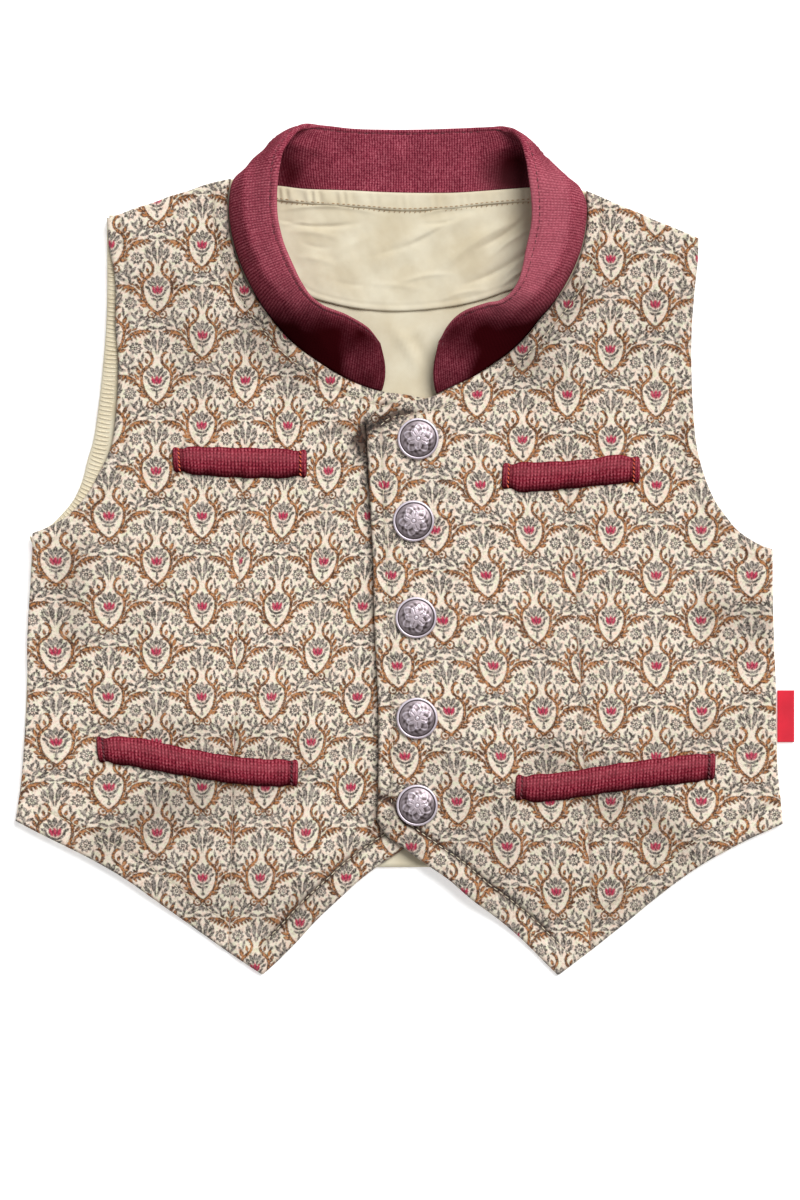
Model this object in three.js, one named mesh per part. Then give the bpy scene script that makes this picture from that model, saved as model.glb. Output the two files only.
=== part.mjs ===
import * as THREE from "three";

// Child's folk vest, buttoned and laid flat on its back. Millimetres, +Z up, neck towards +Y.
// The wearer's right side is at -X. The origin is the bottom centre of the whole vest.

// Cloth
const BACK_THICK = 1.6; // print cloth and lining together
const FRONT_THICK = 2; // print cloth, interfacing and lining together
const LINING_THICK = 1;
const KNIT_THICK = 2; // the stand collar is knit, doubled
const WELT_THICK = 1.5;
const WELT_CROWN = 0.6; // more in the middle of a welt than at its long edges
const GAP = 0.3; // left free at every seam
const LAP_RISE = FRONT_THICK + 0.5; // the left front over the right one
const LAP_FLAT_X = 18; // the lap is level up to here
const LAP_END_X = 52; // and has come down to the other front's height here
const FACING_REACH = 16; // length over which a front comes down beside the facing
const TIP_START = 6; // a front stays level this far below the back's hem
const TIP_DROP = 18; // and comes down to the table over this length
const DART_HALF = 1.6; // half width of the groove along a dart
const DART_DEEP = 0.5;
const DART_TOP_Y = 37;
const BUTTON_DIAMETER = 15.5;
const BUTTON_HEIGHT = 3.3;
const LABEL_THICK = 1;

// Grids
const PANEL_ROWS = 24;
const SIDE_ROWS = 9; // of them, rows along the side seam
const EDGE_ROWS = 13; // of them, rows along the centre edge
const SIDE_COLUMNS = 8;
const TIP_COLUMNS = 2;
const CENTRE_COLUMNS = 10;
const COLLAR_STEPS = 66;
const COLLAR_ROWS = 7;
const WELT_STEPS = 12;
const BUTTON_SIDES = 24;

// Fullness of the fronts over the chest and the belly: x, y, reach in x, reach in y, height
const SWELLS = [
  [-72, 42, 46, 60, 1.4],
  [-74, -48, 62, 78, 3],
  [72, 40, 46, 60, 1.4],
  [76, -50, 58, 78, 3],
];

// Soft folds of the fronts: start x, y, end x, y, width, height (minus is a trough)
const FOLDS = [
  [-112, 8, -88, -42, 9, 0.7],
  [-103, -92, -84, -132, 8, 0.8],
  [-47, -96, -40, -136, 8, -0.6],
  [-96, 66, -70, 30, 8, 0.5],
  [112, 2, 92, -44, 9, 0.7],
  [98, -96, 84, -130, 8, 0.8],
  [48, -100, 50, -138, 8, -0.6],
  [96, 62, 72, 26, 8, 0.5],
];

// Panel outlines as x, y, each run from the hem up or from the side to the centre
const RIGHT_FRONT = {
  side: [[-146.2, -102.1], [-144, -86.7], [-142.9, -71.7], [-141.8, -56.7], [-141.8, -34.2],
    [-141, -19.2], [-139.9, -4.2], [-139.9, 5.9]],
  armhole: [[-139.9, 5.9], [-133.8, 8.2], [-126.6, 12.4], [-122.3, 16.7], [-118.5, 21.5],
    [-115.6, 26.8], [-112.7, 32.5], [-110.3, 38.2], [-108.9, 45.9], [-107.9, 58.3],
    [-107.7, 72.7], [-108.6, 82], [-108.8, 101.3], [-111.2, 114.7], [-111.9, 124]],
  shoulderOut: [[-111.9, 124], [-107.2, 125.5], [-101.2, 127.8], [-94.1, 130], [-88.5, 132.3]],
  shoulderIn: [[-88.5, 132.3], [-81, 134.5], [-74.6, 136.8], [-65.2, 139]],
  hemOut: [[-146.2, -102.1], [-137.6, -106.6], [-132.4, -109.2], [-117.4, -116.7],
    [-104.6, -124.2], [-94.1, -131.7], [-83.6, -139.2], [-73.1, -146.7], [-66.2, -151.6]],
  hemTip: [[-66.2, -151.6], [-53.6, -160]],
  hemIn: [[-53.6, -160], [-47.2, -154.2], [-39.8, -146.7], [-33, -139.2], [-25.1, -131.7],
    [-16.9, -124.2], [-10.1, -119], [-1.1, -113], [7.5, -107.7], [15, -102.5]],
  dart: [[-66.2, -151.6], [-65, -120.5], [-64.7, -87.1], [-63.2, -55.2], [-62.8, -20.7],
    [-61.5, 13], [-60.8, 37], [-65, 60], [-75.5, 88], [-84, 112], [-88.5, 132.3]],
  edge: [[15, -102.5], [15, 55]],
  neck: [[15, 55], [7.1, 56.5], [-0.4, 58], [-8.2, 59], [-14.4, 60.8], [-19.1, 62.5],
    [-25.9, 65.9], [-31.2, 69.3], [-37.6, 73.6], [-44, 79], [-49.9, 85.9], [-56.2, 94.9],
    [-59.9, 100.9], [-63.4, 110.2], [-65.2, 115.8], [-66.2, 122.5], [-66.6, 129.3],
    [-66.2, 134.2], [-65.2, 139]],
};

const LEFT_FRONT = {
  side: [[141.8, -103.2], [141, -94.2], [140.2, -86.7], [139.5, -79.2], [139.1, -49.2],
    [138.4, -34.2], [138, -19.2], [138, -0.1]],
  armhole: [[138, -0.1], [133.1, 1.6], [127.1, 5.2], [124.1, 7.6], [121.5, 10.8],
    [116.2, 18.3], [112.9, 25.8], [110.6, 33.3], [109.1, 40.8], [108.4, 48.3], [107.6, 63.3],
    [107.6, 82], [108.4, 93.3], [109.1, 100.8], [109.9, 108.3], [110.2, 116.5]],
  shoulderOut: [[110.2, 116.5], [105, 118.8], [99.8, 121], [93.4, 123.5], [88, 126]],
  shoulderIn: [[88, 126], [83.6, 127.8], [78.4, 130], [73.1, 132.3], [67.9, 134.5]],
  hemOut: [[141.8, -103.2], [134.2, -106.6], [128.6, -109.2], [114.4, -116.7],
    [103.1, -124.2], [93.4, -131.7], [84.4, -139.2], [75, -146.7], [70.1, -150.6]],
  hemTip: [[70.1, -150.6], [57.4, -160.2]],
  hemIn: [[57.4, -160.2], [51.4, -154.2], [43.9, -146.7], [35.2, -139.2], [25.1, -131.7],
    [16.5, -124.2], [9, -119], [-1.1, -111.8], [-7.5, -107], [-10.5, -101.7]],
  dart: [[70.1, -150.6], [69.4, -119], [66.8, -71], [64.9, -38], [63.3, -0.8], [61.5, 7.8],
    [60.4, 37], [65, 60], [75, 86], [83, 108], [88, 126]],
  edge: [[-10.5, -101.7], [-10.1, -86.3], [-10.1, -59.3], [-11.6, -26.7], [-12, -5.7],
    [-13.5, 23.2], [-14.6, 46.8]],
  neck: [[-14.6, 46.8], [-12.8, 49.8], [-10.1, 52.4], [-5.6, 54.3], [1.5, 55.4], [7.1, 56.2],
    [11, 57.4], [17.2, 60.7], [24.4, 64.1], [31.6, 67.9], [39.8, 74.2], [46, 80.3],
    [50.7, 86.1], [57, 93.7], [61.7, 100.9], [65.1, 108.1], [67.1, 114.8], [68.2, 120.8],
    [68.4, 125.9], [67.9, 134.5]],
};

// Back: its own hem, its left armhole under the front, and the neck seam
const BACK_HEM = [[-146.2, -102.1], [-132.4, -109.2], [-117.4, -116.2], [-106, -119.2],
  [-60, -119.5], [0, -119.5], [60, -119.5], [102, -119.3], [114.4, -116.4], [128.6, -109.2],
  [141.8, -103.2]];
const BACK_NECK = [[67.9, 134.1], [58, 134.6], [45.6, 135], [37.9, 135], [28.4, 134.4],
  [18.8, 133.8], [-0.4, 133.8], [-19.5, 134.4], [-29, 134.8], [-38.6, 135.2], [-46.5, 135.7],
  [-56, 136.2], [-65.2, 138.6]];

const BACK_LEFT_ARMHOLE = [[138, -0.4], [131, 0.9], [124, 5.4], [115.5, 16.5], [110.5, 29],
  [107.8, 42], [106.4, 58], [106.2, 80], [107.4, 98], [109, 108], [109.9, 116.3]];

// Facing turned to the inside round the back's right armhole, underarm to shoulder tip
const FACING = {
  outer: [[-139.8, 5.6], [-133.1, 8.9], [-130.9, 10.8], [-124.5, 18.3], [-121.1, 25.8],
    [-119.2, 33.3], [-117, 40.8], [-114.8, 55.8], [-113.2, 70.8], [-112.1, 85.8],
    [-111.8, 100], [-111.9, 123.6]],
  inner: [[-139.8, -2.8], [-131, 0.4], [-123, 7], [-115, 17], [-110.6, 27], [-107.8, 40],
    [-105.4, 58], [-103.8, 80], [-103, 100], [-102.9, 126.8]],
};

// Half-moon yoke inside the back and the tape that covers the neck seam
const YOKE = [[-50, 134.6], [-52, 128], [-51.5, 118], [-47, 106], [-41.5, 98.6], [-35.7, 94.6],
  [-29, 92.4], [-19.5, 90.3], [-9.9, 89.3], [-0.4, 89.1], [9.2, 89.8], [18.8, 91],
  [28.4, 93.2], [37.9, 96.5], [41.7, 98], [47, 103.5], [51, 114], [52, 127], [50, 134.4],
  [37.9, 133.8], [28.4, 133], [18.8, 132.6], [-0.4, 132.4], [-19.5, 133.2], [-38.6, 133.9]];
const TAPE_TOP = [[-50, 136.4], [-46.5, 136.1], [-38.6, 135.1], [-29, 134.7], [-19.5, 134.4],
  [-9.9, 133.9], [-0.4, 133.6], [9.2, 133.5], [18.8, 133.6], [28.4, 134.2], [37.9, 134.9],
  [45.6, 135.5], [50, 135.6]];
const TAPE_FOOT = [[-50, 130.8], [-38.6, 129.5], [-19.5, 128.1], [-0.4, 126.7], [9.2, 127],
  [18.8, 127.6], [28.4, 128.8], [46, 130.2], [50, 130.4]];

// Stand collar from its right front end round the neck: seam, roll and free edge, each x, y, z
const COLLAR = [
  { seam: [-8.4, 60.1, 3], roll: [-7.4, 68.2, 5], free: [-9.6, 77, 6.4] },
  { seam: [-14, 61.9, 3], roll: [-13.1, 72, 6], free: [-13.4, 82.4, 8.2] },
  { seam: [-25, 67.2, 3], roll: [-23.2, 78, 8], free: [-22, 87.6, 11] },
  { seam: [-36.4, 74.8, 3.2], roll: [-33.4, 83, 10.6], free: [-30.4, 90.8, 15] },
  { seam: [-42.8, 80.2, 3.4], roll: [-39.4, 87, 13], free: [-34.8, 94, 18] },
  { seam: [-48.8, 86.9, 3.4], roll: [-45, 92.2, 14], free: [-37.8, 98, 19.4] },
  { seam: [-55, 95.6, 3.4], roll: [-50.8, 99.4, 14], free: [-41, 104.2, 19.4] },
  { seam: [-61.9, 110.4, 3.4], roll: [-57.2, 112.6, 13.4], free: [-45.6, 115.4, 18.4] },
  { seam: [-64.7, 122.5, 3.4], roll: [-60, 123.6, 13], free: [-47.5, 125, 18] },
  { seam: [-65, 131, 3.4], roll: [-60.4, 132.4, 13], free: [-47.6, 133.6, 17.8] },
  { seam: [-63.6, 137.4, 3.4], roll: [-60, 138.8, 11.6], free: [-46.9, 141, 17.4] },
  { seam: [-60.2, 140.2, 3.3], roll: [-57.4, 143, 9.4], free: [-45.8, 147.4, 16] },
  { seam: [-54.4, 139.6, 2.7], roll: [-52.9, 147, 7.4], free: [-43.2, 152.6, 13.4] },
  { seam: [-47.4, 138, 1.6], roll: [-47.6, 152, 4.6], free: [-39.4, 157, 8.6] },
  { seam: [-39, 136.2, 1.1], roll: [-40.6, 150.4, 2], free: [-34.6, 159, 3.4] },
  { seam: [-29, 135.4, 1], roll: [-29.4, 147.4, 1], free: [-28.6, 158.8, 1.2] },
  { seam: [-19.5, 135.1, 1], roll: [-19.5, 146.8, 1], free: [-19.5, 157.8, 1] },
  { seam: [-0.4, 134.3, 1], roll: [-0.4, 146.2, 1], free: [-0.4, 157.4, 1] },
  { seam: [18.8, 134.4, 1], roll: [18.8, 146.4, 1], free: [18.8, 157.9, 1] },
  { seam: [29, 135, 1], roll: [29.6, 147, 1], free: [28.6, 158.3, 1.2] },
  { seam: [38, 135.8, 1.1], roll: [40, 149.6, 2], free: [35.6, 158.2, 3.4] },
  { seam: [46, 136.8, 1.5], roll: [47.4, 149.6, 4.6], free: [40.4, 156, 8] },
  { seam: [53, 137.3, 2.4], roll: [52, 144.9, 7.4], free: [43.5, 151.8, 12.8] },
  { seam: [59.4, 136.9, 3.1], roll: [56.8, 140.6, 9], free: [44.9, 146, 15.6] },
  { seam: [64.2, 134.9, 3.4], roll: [61, 136.2, 11.4], free: [45.9, 139.2, 17] },
  { seam: [66.8, 129.8, 3.4], roll: [62.4, 130.8, 13], free: [46.9, 131.6, 17.6] },
  { seam: [66.8, 121.4, 3.4], roll: [62.2, 122.4, 13.2], free: [47.1, 122.4, 17.8] },
  { seam: [64, 109.4, 3.4], roll: [59.4, 111, 13.6], free: [45, 111.6, 18] },
  { seam: [56, 94.8, 3.4], roll: [52, 98.2, 14], free: [42.4, 100.4, 19] },
  { seam: [49.6, 87.2, 3.4], roll: [45.8, 91.6, 14], free: [39, 95, 18.6] },
  { seam: [44.9, 81.5, 3.5], roll: [41, 87.4, 13], free: [35.2, 92.5, 17] },
  { seam: [38.9, 75.6, 4], roll: [34.8, 83.6, 11.4], free: [30, 91.6, 15] },
  { seam: [24.2, 65.5, 5.3], roll: [22.8, 77, 9.4], free: [21.2, 88.4, 12] },
  { seam: [16.8, 61.9, 5.5], roll: [16.2, 72.4, 8.2], free: [16.2, 83.8, 10] },
  { seam: [11.4, 59, 5.5], roll: [10.6, 67.6, 7.4], free: [12.9, 77.6, 8.6] },
];

// Ribbed knit welts: upper and lower long edge
const WELTS = {
  welt_right_chest: {
    upper: [[-87.4, 38.5], [-62, 37.9], [-36.8, 37.4]],
    lower: [[-86.8, 28.4], [-62, 26.6], [-36.8, 26.5]],
  },
  welt_left_chest: {
    upper: [[36.6, 32.6], [52.1, 32.6], [68.5, 33.6], [80.6, 35.4], [88.2, 34.6]],
    lower: [[36, 22.2], [44, 21.2], [60.4, 22.4], [76.5, 24], [88, 24.4]],
  },
  welt_right_pocket: {
    upper: [[-116, -70], [-99, -71], [-87.4, -73.6], [-76.1, -75.8], [-64.5, -77.7],
      [-52.9, -78.8], [-40, -78.6]],
    lower: [[-115, -80.4], [-104.6, -81.3], [-93.2, -83.3], [-81.8, -85.3], [-70.1, -87.2],
      [-58.9, -88.6], [-40.2, -89.5]],
  },
  welt_left_pocket: {
    upper: [[41.6, -84.2], [47.2, -84.5], [58.5, -83.8], [70.1, -82], [81.6, -80.2],
      [93, -78.8], [104.6, -77.3], [116.6, -76.2]],
    lower: [[41, -94.6], [49.9, -95], [58.5, -94.2], [70.1, -92.3], [81.6, -90.7],
      [93, -89.2], [104.6, -88], [116.2, -86.9]],
  },
};

// Buttons from the neck down: x, y
const BUTTONS = [[4.9, 41.2], [3.2, 10.4], [4.1, -25.8], [4.5, -63.5], [4.5, -96.1]];

// A button's outline from its under side to the crown: radius and height as shares of the whole
const BUTTON_PROFILE = [[0.86, 0], [1, 0.14], [1, 0.34], [0.95, 0.47], [0.87, 0.46],
  [0.83, 0.52], [0.66, 0.74], [0.42, 0.91], [0.2, 0.98]];

// Side label: x and y of its near and far corner
const LABEL = [[139.8, -72.6], [146.2, -53.1]];

const clamp01 = (t) => Math.min(1, Math.max(0, t));
const ease = (t) => clamp01(t) * clamp01(t) * (3 - 2 * clamp01(t));
const mix = (a, b, t) => a.map((v, i) => v + (b[i] - v) * t);

// n + 1 points evenly spaced along a smooth line through the given points
function along(points, n) {
  const line = new THREE.CatmullRomCurve3(
    points.map((p) => new THREE.Vector3(p[0], p[1], p[2] || 0)),
    false,
    "centripetal",
  );
  return line.getSpacedPoints(n).map((p) => [p.x, p.y, p.z]);
}

function join(...runs) {
  return runs.flatMap((run, i) => (i ? run.slice(1) : run));
}

// Rows of points that fill four edges: left and right run up, lower and upper run across
function fill(left, right, lower, upper) {
  const last = left.length - 1;
  const end = lower.length - 1;
  return left.map((_, r) => {
    const v = r / last;
    return lower.map((__, c) => {
      const u = c / end;
      return [0, 1].map((k) => {
        const across = left[r][k] * (1 - u) + right[r][k] * u;
        const up = lower[c][k] * (1 - v) + upper[c][k] * v;
        const low = lower[0][k] * (1 - u) + lower[end][k] * u;
        const high = upper[0][k] * (1 - u) + upper[end][k] * u;
        return across + up - (low * (1 - v) + high * v);
      });
    });
  });
}

// A closed wall between two grids of the same size
function wall(under, over) {
  const rows = under.length;
  const columns = under[0].length;
  const points = [...under.flat(), ...over.flat()];
  const at = (r, c, top) => (top ? rows * columns : 0) + r * columns + c;
  const faces = [];
  const quad = (a, b, c, d) => faces.push(a, b, c, a, c, d);
  for (let r = 0; r < rows - 1; r++) {
    for (let c = 0; c < columns - 1; c++) {
      quad(at(r, c, 1), at(r, c + 1, 1), at(r + 1, c + 1, 1), at(r + 1, c, 1));
      quad(at(r, c, 0), at(r + 1, c, 0), at(r + 1, c + 1, 0), at(r, c + 1, 0));
    }
  }
  for (let c = 0; c < columns - 1; c++) {
    quad(at(0, c, 0), at(0, c + 1, 0), at(0, c + 1, 1), at(0, c, 1));
    quad(at(rows - 1, c + 1, 0), at(rows - 1, c, 0), at(rows - 1, c, 1), at(rows - 1, c + 1, 1));
  }
  for (let r = 0; r < rows - 1; r++) {
    quad(at(r + 1, 0, 0), at(r, 0, 0), at(r, 0, 1), at(r + 1, 0, 1));
    quad(at(r, columns - 1, 0), at(r + 1, columns - 1, 0), at(r + 1, columns - 1, 1),
      at(r, columns - 1, 1));
  }
  return solid(points, faces);
}

// Geometry from points and faces, turned to face outwards
function solid(points, faces) {
  let volume = 0;
  const corner = new THREE.Vector3();
  for (let i = 0; i < faces.length; i += 3) {
    const [a, b, c] = [0, 1, 2].map((k) => new THREE.Vector3(...points[faces[i + k]]));
    volume += a.dot(corner.crossVectors(b, c));
  }
  if (volume < 0) {
    for (let i = 0; i < faces.length; i += 3) {
      [faces[i + 1], faces[i + 2]] = [faces[i + 2], faces[i + 1]];
    }
  }
  const geometry = new THREE.BufferGeometry();
  geometry.setAttribute("position", new THREE.Float32BufferAttribute(points.flat(), 3));
  geometry.setIndex(faces);
  geometry.computeVertexNormals();
  return geometry;
}

// A flat piece cut to an outline, from height z0 to z1
function slab(outline, z0, z1) {
  const shape = new THREE.Shape(outline.map((p) => new THREE.Vector2(p[0], p[1])));
  const geometry = new THREE.ExtrudeGeometry(shape, { depth: z1 - z0, bevelEnabled: false });
  return geometry.translate(0, 0, z0);
}

// Height of the back's hem line at x, which the fronts hang over
function backHemY(x) {
  const i = BACK_HEM.findIndex((p) => p[0] > x);
  if (i < 1) {
    return -110;
  }
  const [a, b] = [BACK_HEM[i - 1], BACK_HEM[i]];
  return a[1] + ((b[1] - a[1]) * (x - a[0])) / (b[0] - a[0]);
}

function swell(x, y) {
  return SWELLS.reduce((sum, [cx, cy, rx, ry, height]) => {
    const d = Math.hypot((x - cx) / rx, (y - cy) / ry);
    return sum + height * Math.cos((Math.PI / 2) * Math.min(1, d)) ** 2;
  }, 0);
}

// Height of the folds at x, y: rounded across, running out at both ends
function folds(x, y) {
  return FOLDS.reduce((sum, [x0, y0, x1, y1, width, height]) => {
    const long = Math.hypot(x1 - x0, y1 - y0);
    const t = ((x - x0) * (x1 - x0) + (y - y0) * (y1 - y0)) / (long * long);
    const off = Math.abs((x - x0) * (y1 - y0) - (y - y0) * (x1 - x0)) / long;
    const run = Math.sin(Math.PI * clamp01(t));
    return sum + height * run * Math.exp(-((off / width) ** 2) * 2);
  }, 0);
}

// Distance of x, y from a line, positive on its right-hand side
function beside(line, x, y) {
  let best = Infinity;
  let side = 1;
  for (let i = 1; i < line.length; i++) {
    const [[ax, ay], [bx, by]] = [line[i - 1], line[i]];
    const [ux, uy] = [bx - ax, by - ay];
    const t = clamp01(((x - ax) * ux + (y - ay) * uy) / (ux * ux + uy * uy));
    const d = Math.hypot(x - ax - t * ux, y - ay - t * uy);
    if (d < best) {
      best = d;
      side = Math.sign((x - ax) * uy - (y - ay) * ux) || 1;
    }
  }
  return best * side;
}

// Under side of a front at x, y
function frontUnder(x, y, lapped) {
  const over = lapped ? 0 : LINING_THICK + GAP;
  const rise = over && over * (1 - ease((beside(FACING.inner, x, y) - 2) / FACING_REACH));
  const drop = (BACK_THICK + GAP) * ease((backHemY(x) - TIP_START - y) / TIP_DROP);
  const lap = lapped ? LAP_RISE * (1 - ease((x - LAP_FLAT_X) / (LAP_END_X - LAP_FLAT_X))) : 0;
  const full = swell(x, y);
  return BACK_THICK + GAP - drop + lap + rise + full + folds(x, y) * clamp01(full);
}

// One front: a side part and a centre part that share the dart
function front(cut, lapped) {
  const left = join(along(cut.side, SIDE_ROWS), along(cut.armhole, PANEL_ROWS - SIDE_ROWS));
  const right = join(along(cut.edge, EDGE_ROWS), along(cut.neck, PANEL_ROWS - EDGE_ROWS));
  const dart = along(cut.dart, PANEL_ROWS);
  const hemIn = join(along(cut.hemTip, TIP_COLUMNS), along(cut.hemIn, CENTRE_COLUMNS));
  const sidePart = fill(left, dart, along(cut.hemOut, SIDE_COLUMNS),
    along(cut.shoulderOut, SIDE_COLUMNS));
  const centrePart = fill(dart, right, hemIn,
    along(cut.shoulderIn, TIP_COLUMNS + CENTRE_COLUMNS));
  const under = [];
  const over = [];
  dart.forEach((d, r) => {
    const out = sidePart[r][SIDE_COLUMNS - 1];
    const inn = centrePart[r][1];
    const near = (p) => mix(d.slice(0, 2), p, DART_HALF / Math.hypot(p[0] - d[0], p[1] - d[1]));
    const row = [...sidePart[r].slice(0, -1), near(out), d, near(inn),
      ...centrePart[r].slice(1)];
    const groove = DART_DEEP * ease((DART_TOP_Y - d[1]) / 12);
    under.push(row.map(([x, y]) => [x, y, frontUnder(x, y, lapped)]));
    over.push(row.map(([x, y], c) => [x, y,
      frontUnder(x, y, lapped) + FRONT_THICK - (c === SIDE_COLUMNS + 1 ? groove : 0)]));
  });
  return wall(under, over);
}

// The stand collar: a doubled band whose middle surface runs through seam, roll and free edge
function collar() {
  const lines = ["seam", "roll", "free"].map((key) => {
    const line = new THREE.CatmullRomCurve3(
      COLLAR.map((row) => new THREE.Vector3(...row[key])), false, "centripetal");
    return Array.from({ length: COLLAR_STEPS + 1 }, (_, i) =>
      line.getPoint(i / COLLAR_STEPS).toArray());
  });
  const middle = lines[0].map((seam, i) =>
    Array.from({ length: COLLAR_ROWS + 1 }, (_, j) => {
      const t = j / COLLAR_ROWS;
      const weights = [(1 - t) * (1 - 2 * t), 4 * t * (1 - t), t * (2 * t - 1)];
      return [0, 1, 2].map((k) =>
        weights[0] * seam[k] + weights[1] * lines[1][i][k] + weights[2] * lines[2][i][k]);
    }));
  const skin = (side) => middle.map((row, i) => row.map((p, j) => {
    const before = middle[Math.max(0, i - 1)][j];
    const after = middle[Math.min(COLLAR_STEPS, i + 1)][j];
    const lower = row[Math.max(0, j - 1)];
    const upper = row[Math.min(COLLAR_ROWS, j + 1)];
    const run = new THREE.Vector3(...after).sub(new THREE.Vector3(...before));
    const rise = new THREE.Vector3(...upper).sub(new THREE.Vector3(...lower));
    const normal = run.cross(rise).normalize();
    return p.map((v, k) => v + (side * KNIT_THICK * normal.getComponent(k)) / 2);
  }));
  return wall(skin(-1), skin(1));
}

// A welt lying on its front, thicker along its middle
function welt(cut, lapped) {
  const upper = along(cut.upper, WELT_STEPS);
  const lower = along(cut.lower, WELT_STEPS);
  const shares = [0, 0.14, 0.5, 0.86, 1];
  const crown = [-0.5, 0.4, 1, 0.4, -0.5];
  const ground = (p) => frontUnder(p[0], p[1], lapped) + FRONT_THICK + GAP;
  const under = upper.map((p, i) => shares.map((t) => {
    const q = mix(lower[i], p, t);
    return [q[0], q[1], ground(q)];
  }));
  const over = under.map((row) => row.map((p, j) =>
    [p[0], p[1], p[2] + WELT_THICK + WELT_CROWN * crown[j]]));
  return wall(under, over);
}

// A turned button with a rim and a domed face
function button([x, y]) {
  const foot = frontUnder(x, y, true) + FRONT_THICK + GAP;
  const points = [[x, y, foot]];
  BUTTON_PROFILE.forEach(([r, h]) => {
    for (let i = 0; i < BUTTON_SIDES; i++) {
      const a = (2 * Math.PI * i) / BUTTON_SIDES;
      const radius = (r * BUTTON_DIAMETER) / 2;
      points.push([x + radius * Math.cos(a), y + radius * Math.sin(a), foot + h * BUTTON_HEIGHT]);
    }
  });
  points.push([x, y, foot + BUTTON_HEIGHT]);
  const faces = [];
  const ring = (k, i) => 1 + k * BUTTON_SIDES + (i % BUTTON_SIDES);
  const top = BUTTON_PROFILE.length - 1;
  for (let i = 0; i < BUTTON_SIDES; i++) {
    faces.push(0, ring(0, i + 1), ring(0, i));
    for (let k = 0; k < top; k++) {
      faces.push(ring(k, i), ring(k, i + 1), ring(k + 1, i + 1));
      faces.push(ring(k, i), ring(k + 1, i + 1), ring(k + 1, i));
    }
    faces.push(ring(top, i), ring(top, i + 1), points.length - 1);
  }
  return solid(points, faces);
}

const printCloth = { color: 0xd9c8a6, roughness: 0.9 };
const liningCloth = { color: 0xded4b4, roughness: 0.9 };
const knit = { color: 0x7a2c42, roughness: 0.95 };
const metal = { color: 0xb0a8a6, roughness: 0.4, metalness: 0.8 };
const red = { color: 0xd5203a, roughness: 0.8 };

const group = new THREE.Group();
group.name = "folk_vest";

function add(name, geometry, look) {
  const mesh = new THREE.Mesh(geometry, new THREE.MeshStandardMaterial(look));
  mesh.name = name;
  group.add(mesh);
}

const backOutline = join(
  along(BACK_HEM, 24),
  along([[141.8, -103.2], [140.2, -86.7], [139.1, -49.2], [138.2, -19.2], [138, -0.4]], 8),
  along(BACK_LEFT_ARMHOLE, 16),
  along([[109.9, 116.3], [99.8, 120.6], [83.6, 127.4], [67.9, 134.1]], 5),
  along(BACK_NECK, 16),
  along([[-65.2, 138.6], [-74.6, 136.4], [-88.5, 131.9], [-101.2, 127.4], [-111.9, 123.6]], 5),
  along([...FACING.outer].reverse(), 18),
  along([[-139.8, 5.6], [-141, -19.2], [-141.8, -45], [-144, -86.7], [-146.2, -102.1]], 8),
).slice(0, -1);
add("back_panel", slab(backOutline, 0, BACK_THICK), printCloth);

const insideBack = BACK_THICK + GAP;
const facingOutline = [...along(FACING.outer, 18), ...along(FACING.inner, 18).reverse()];
add("armhole_facing", slab(facingOutline, insideBack, insideBack + LINING_THICK), liningCloth);
add("yoke_lining", slab(YOKE, insideBack, insideBack + LINING_THICK), liningCloth);
const tapeUnder = insideBack + LINING_THICK + GAP;
const tapeOutline = [...along(TAPE_TOP, 20), ...along(TAPE_FOOT, 20).reverse()];
add("neck_tape", slab(tapeOutline, tapeUnder, tapeUnder + LINING_THICK), liningCloth);

add("front_right", front(RIGHT_FRONT, false), printCloth);
add("front_left", front(LEFT_FRONT, true), printCloth);
add("stand_collar", collar(), knit);
Object.entries(WELTS).forEach(([name, cut]) => {
  add(name, welt(cut, name.startsWith("welt_left")), knit);
});
BUTTONS.forEach((place, i) => {
  add("button_" + (i + 1), button(place), metal);
});

const [near, far] = LABEL;
add("side_label", slab([near, [far[0], near[1]], far, [near[0], far[1]]], 0, LABEL_THICK), red);

export default group;
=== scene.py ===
import math

import bpy
import numpy as np
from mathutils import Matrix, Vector


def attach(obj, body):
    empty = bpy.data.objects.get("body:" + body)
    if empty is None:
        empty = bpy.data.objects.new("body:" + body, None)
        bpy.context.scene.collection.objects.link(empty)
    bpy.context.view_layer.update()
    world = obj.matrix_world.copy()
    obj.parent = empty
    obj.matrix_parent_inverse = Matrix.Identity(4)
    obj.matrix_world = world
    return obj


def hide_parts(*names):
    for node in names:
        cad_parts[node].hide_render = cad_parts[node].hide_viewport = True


bl_info = {
    "name": "Child's Folk Vest",
    "version": (1, 0, 0),
    "blender": (4, 5, 0),
    "location": "View3D > Sidebar > Folk Vest",
    "description": "Builds the cloth, knit, stitching and buttons of a folk vest laid flat",
    "category": "Add Mesh",
}

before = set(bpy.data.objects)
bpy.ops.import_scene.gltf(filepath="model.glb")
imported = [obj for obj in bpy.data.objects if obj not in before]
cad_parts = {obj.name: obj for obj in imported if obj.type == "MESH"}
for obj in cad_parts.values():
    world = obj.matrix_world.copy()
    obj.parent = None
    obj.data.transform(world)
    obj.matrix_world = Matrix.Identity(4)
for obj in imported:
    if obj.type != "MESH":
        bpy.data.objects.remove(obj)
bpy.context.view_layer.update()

# Lengths in this file's tables are millimetres, as in the part: +Z up, neck towards +Y.
MM = 0.001

# Cloth
BACK_THICK = 1.6
FRONT_THICK = 2.0
LINING_THICK = 1.0
KNIT_THICK = 2.0
WELT_THICK = 1.5
WELT_CROWN = 0.6
GAP = 0.3
LAP_RISE = FRONT_THICK + 0.5
TAPE_BASE = BACK_THICK + LINING_THICK + GAP
LAP_FLAT_X = 18
LAP_END_X = 52
FACING_REACH = 16
BEYOND_HEM_Y = -110
TIP_START = 6
TIP_DROP = 18
DART_TOP_Y = 37
BUTTON_DIAMETER = 15.5
BUTTON_HEIGHT = 3.3
LABEL_THICK = 1.0

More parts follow.
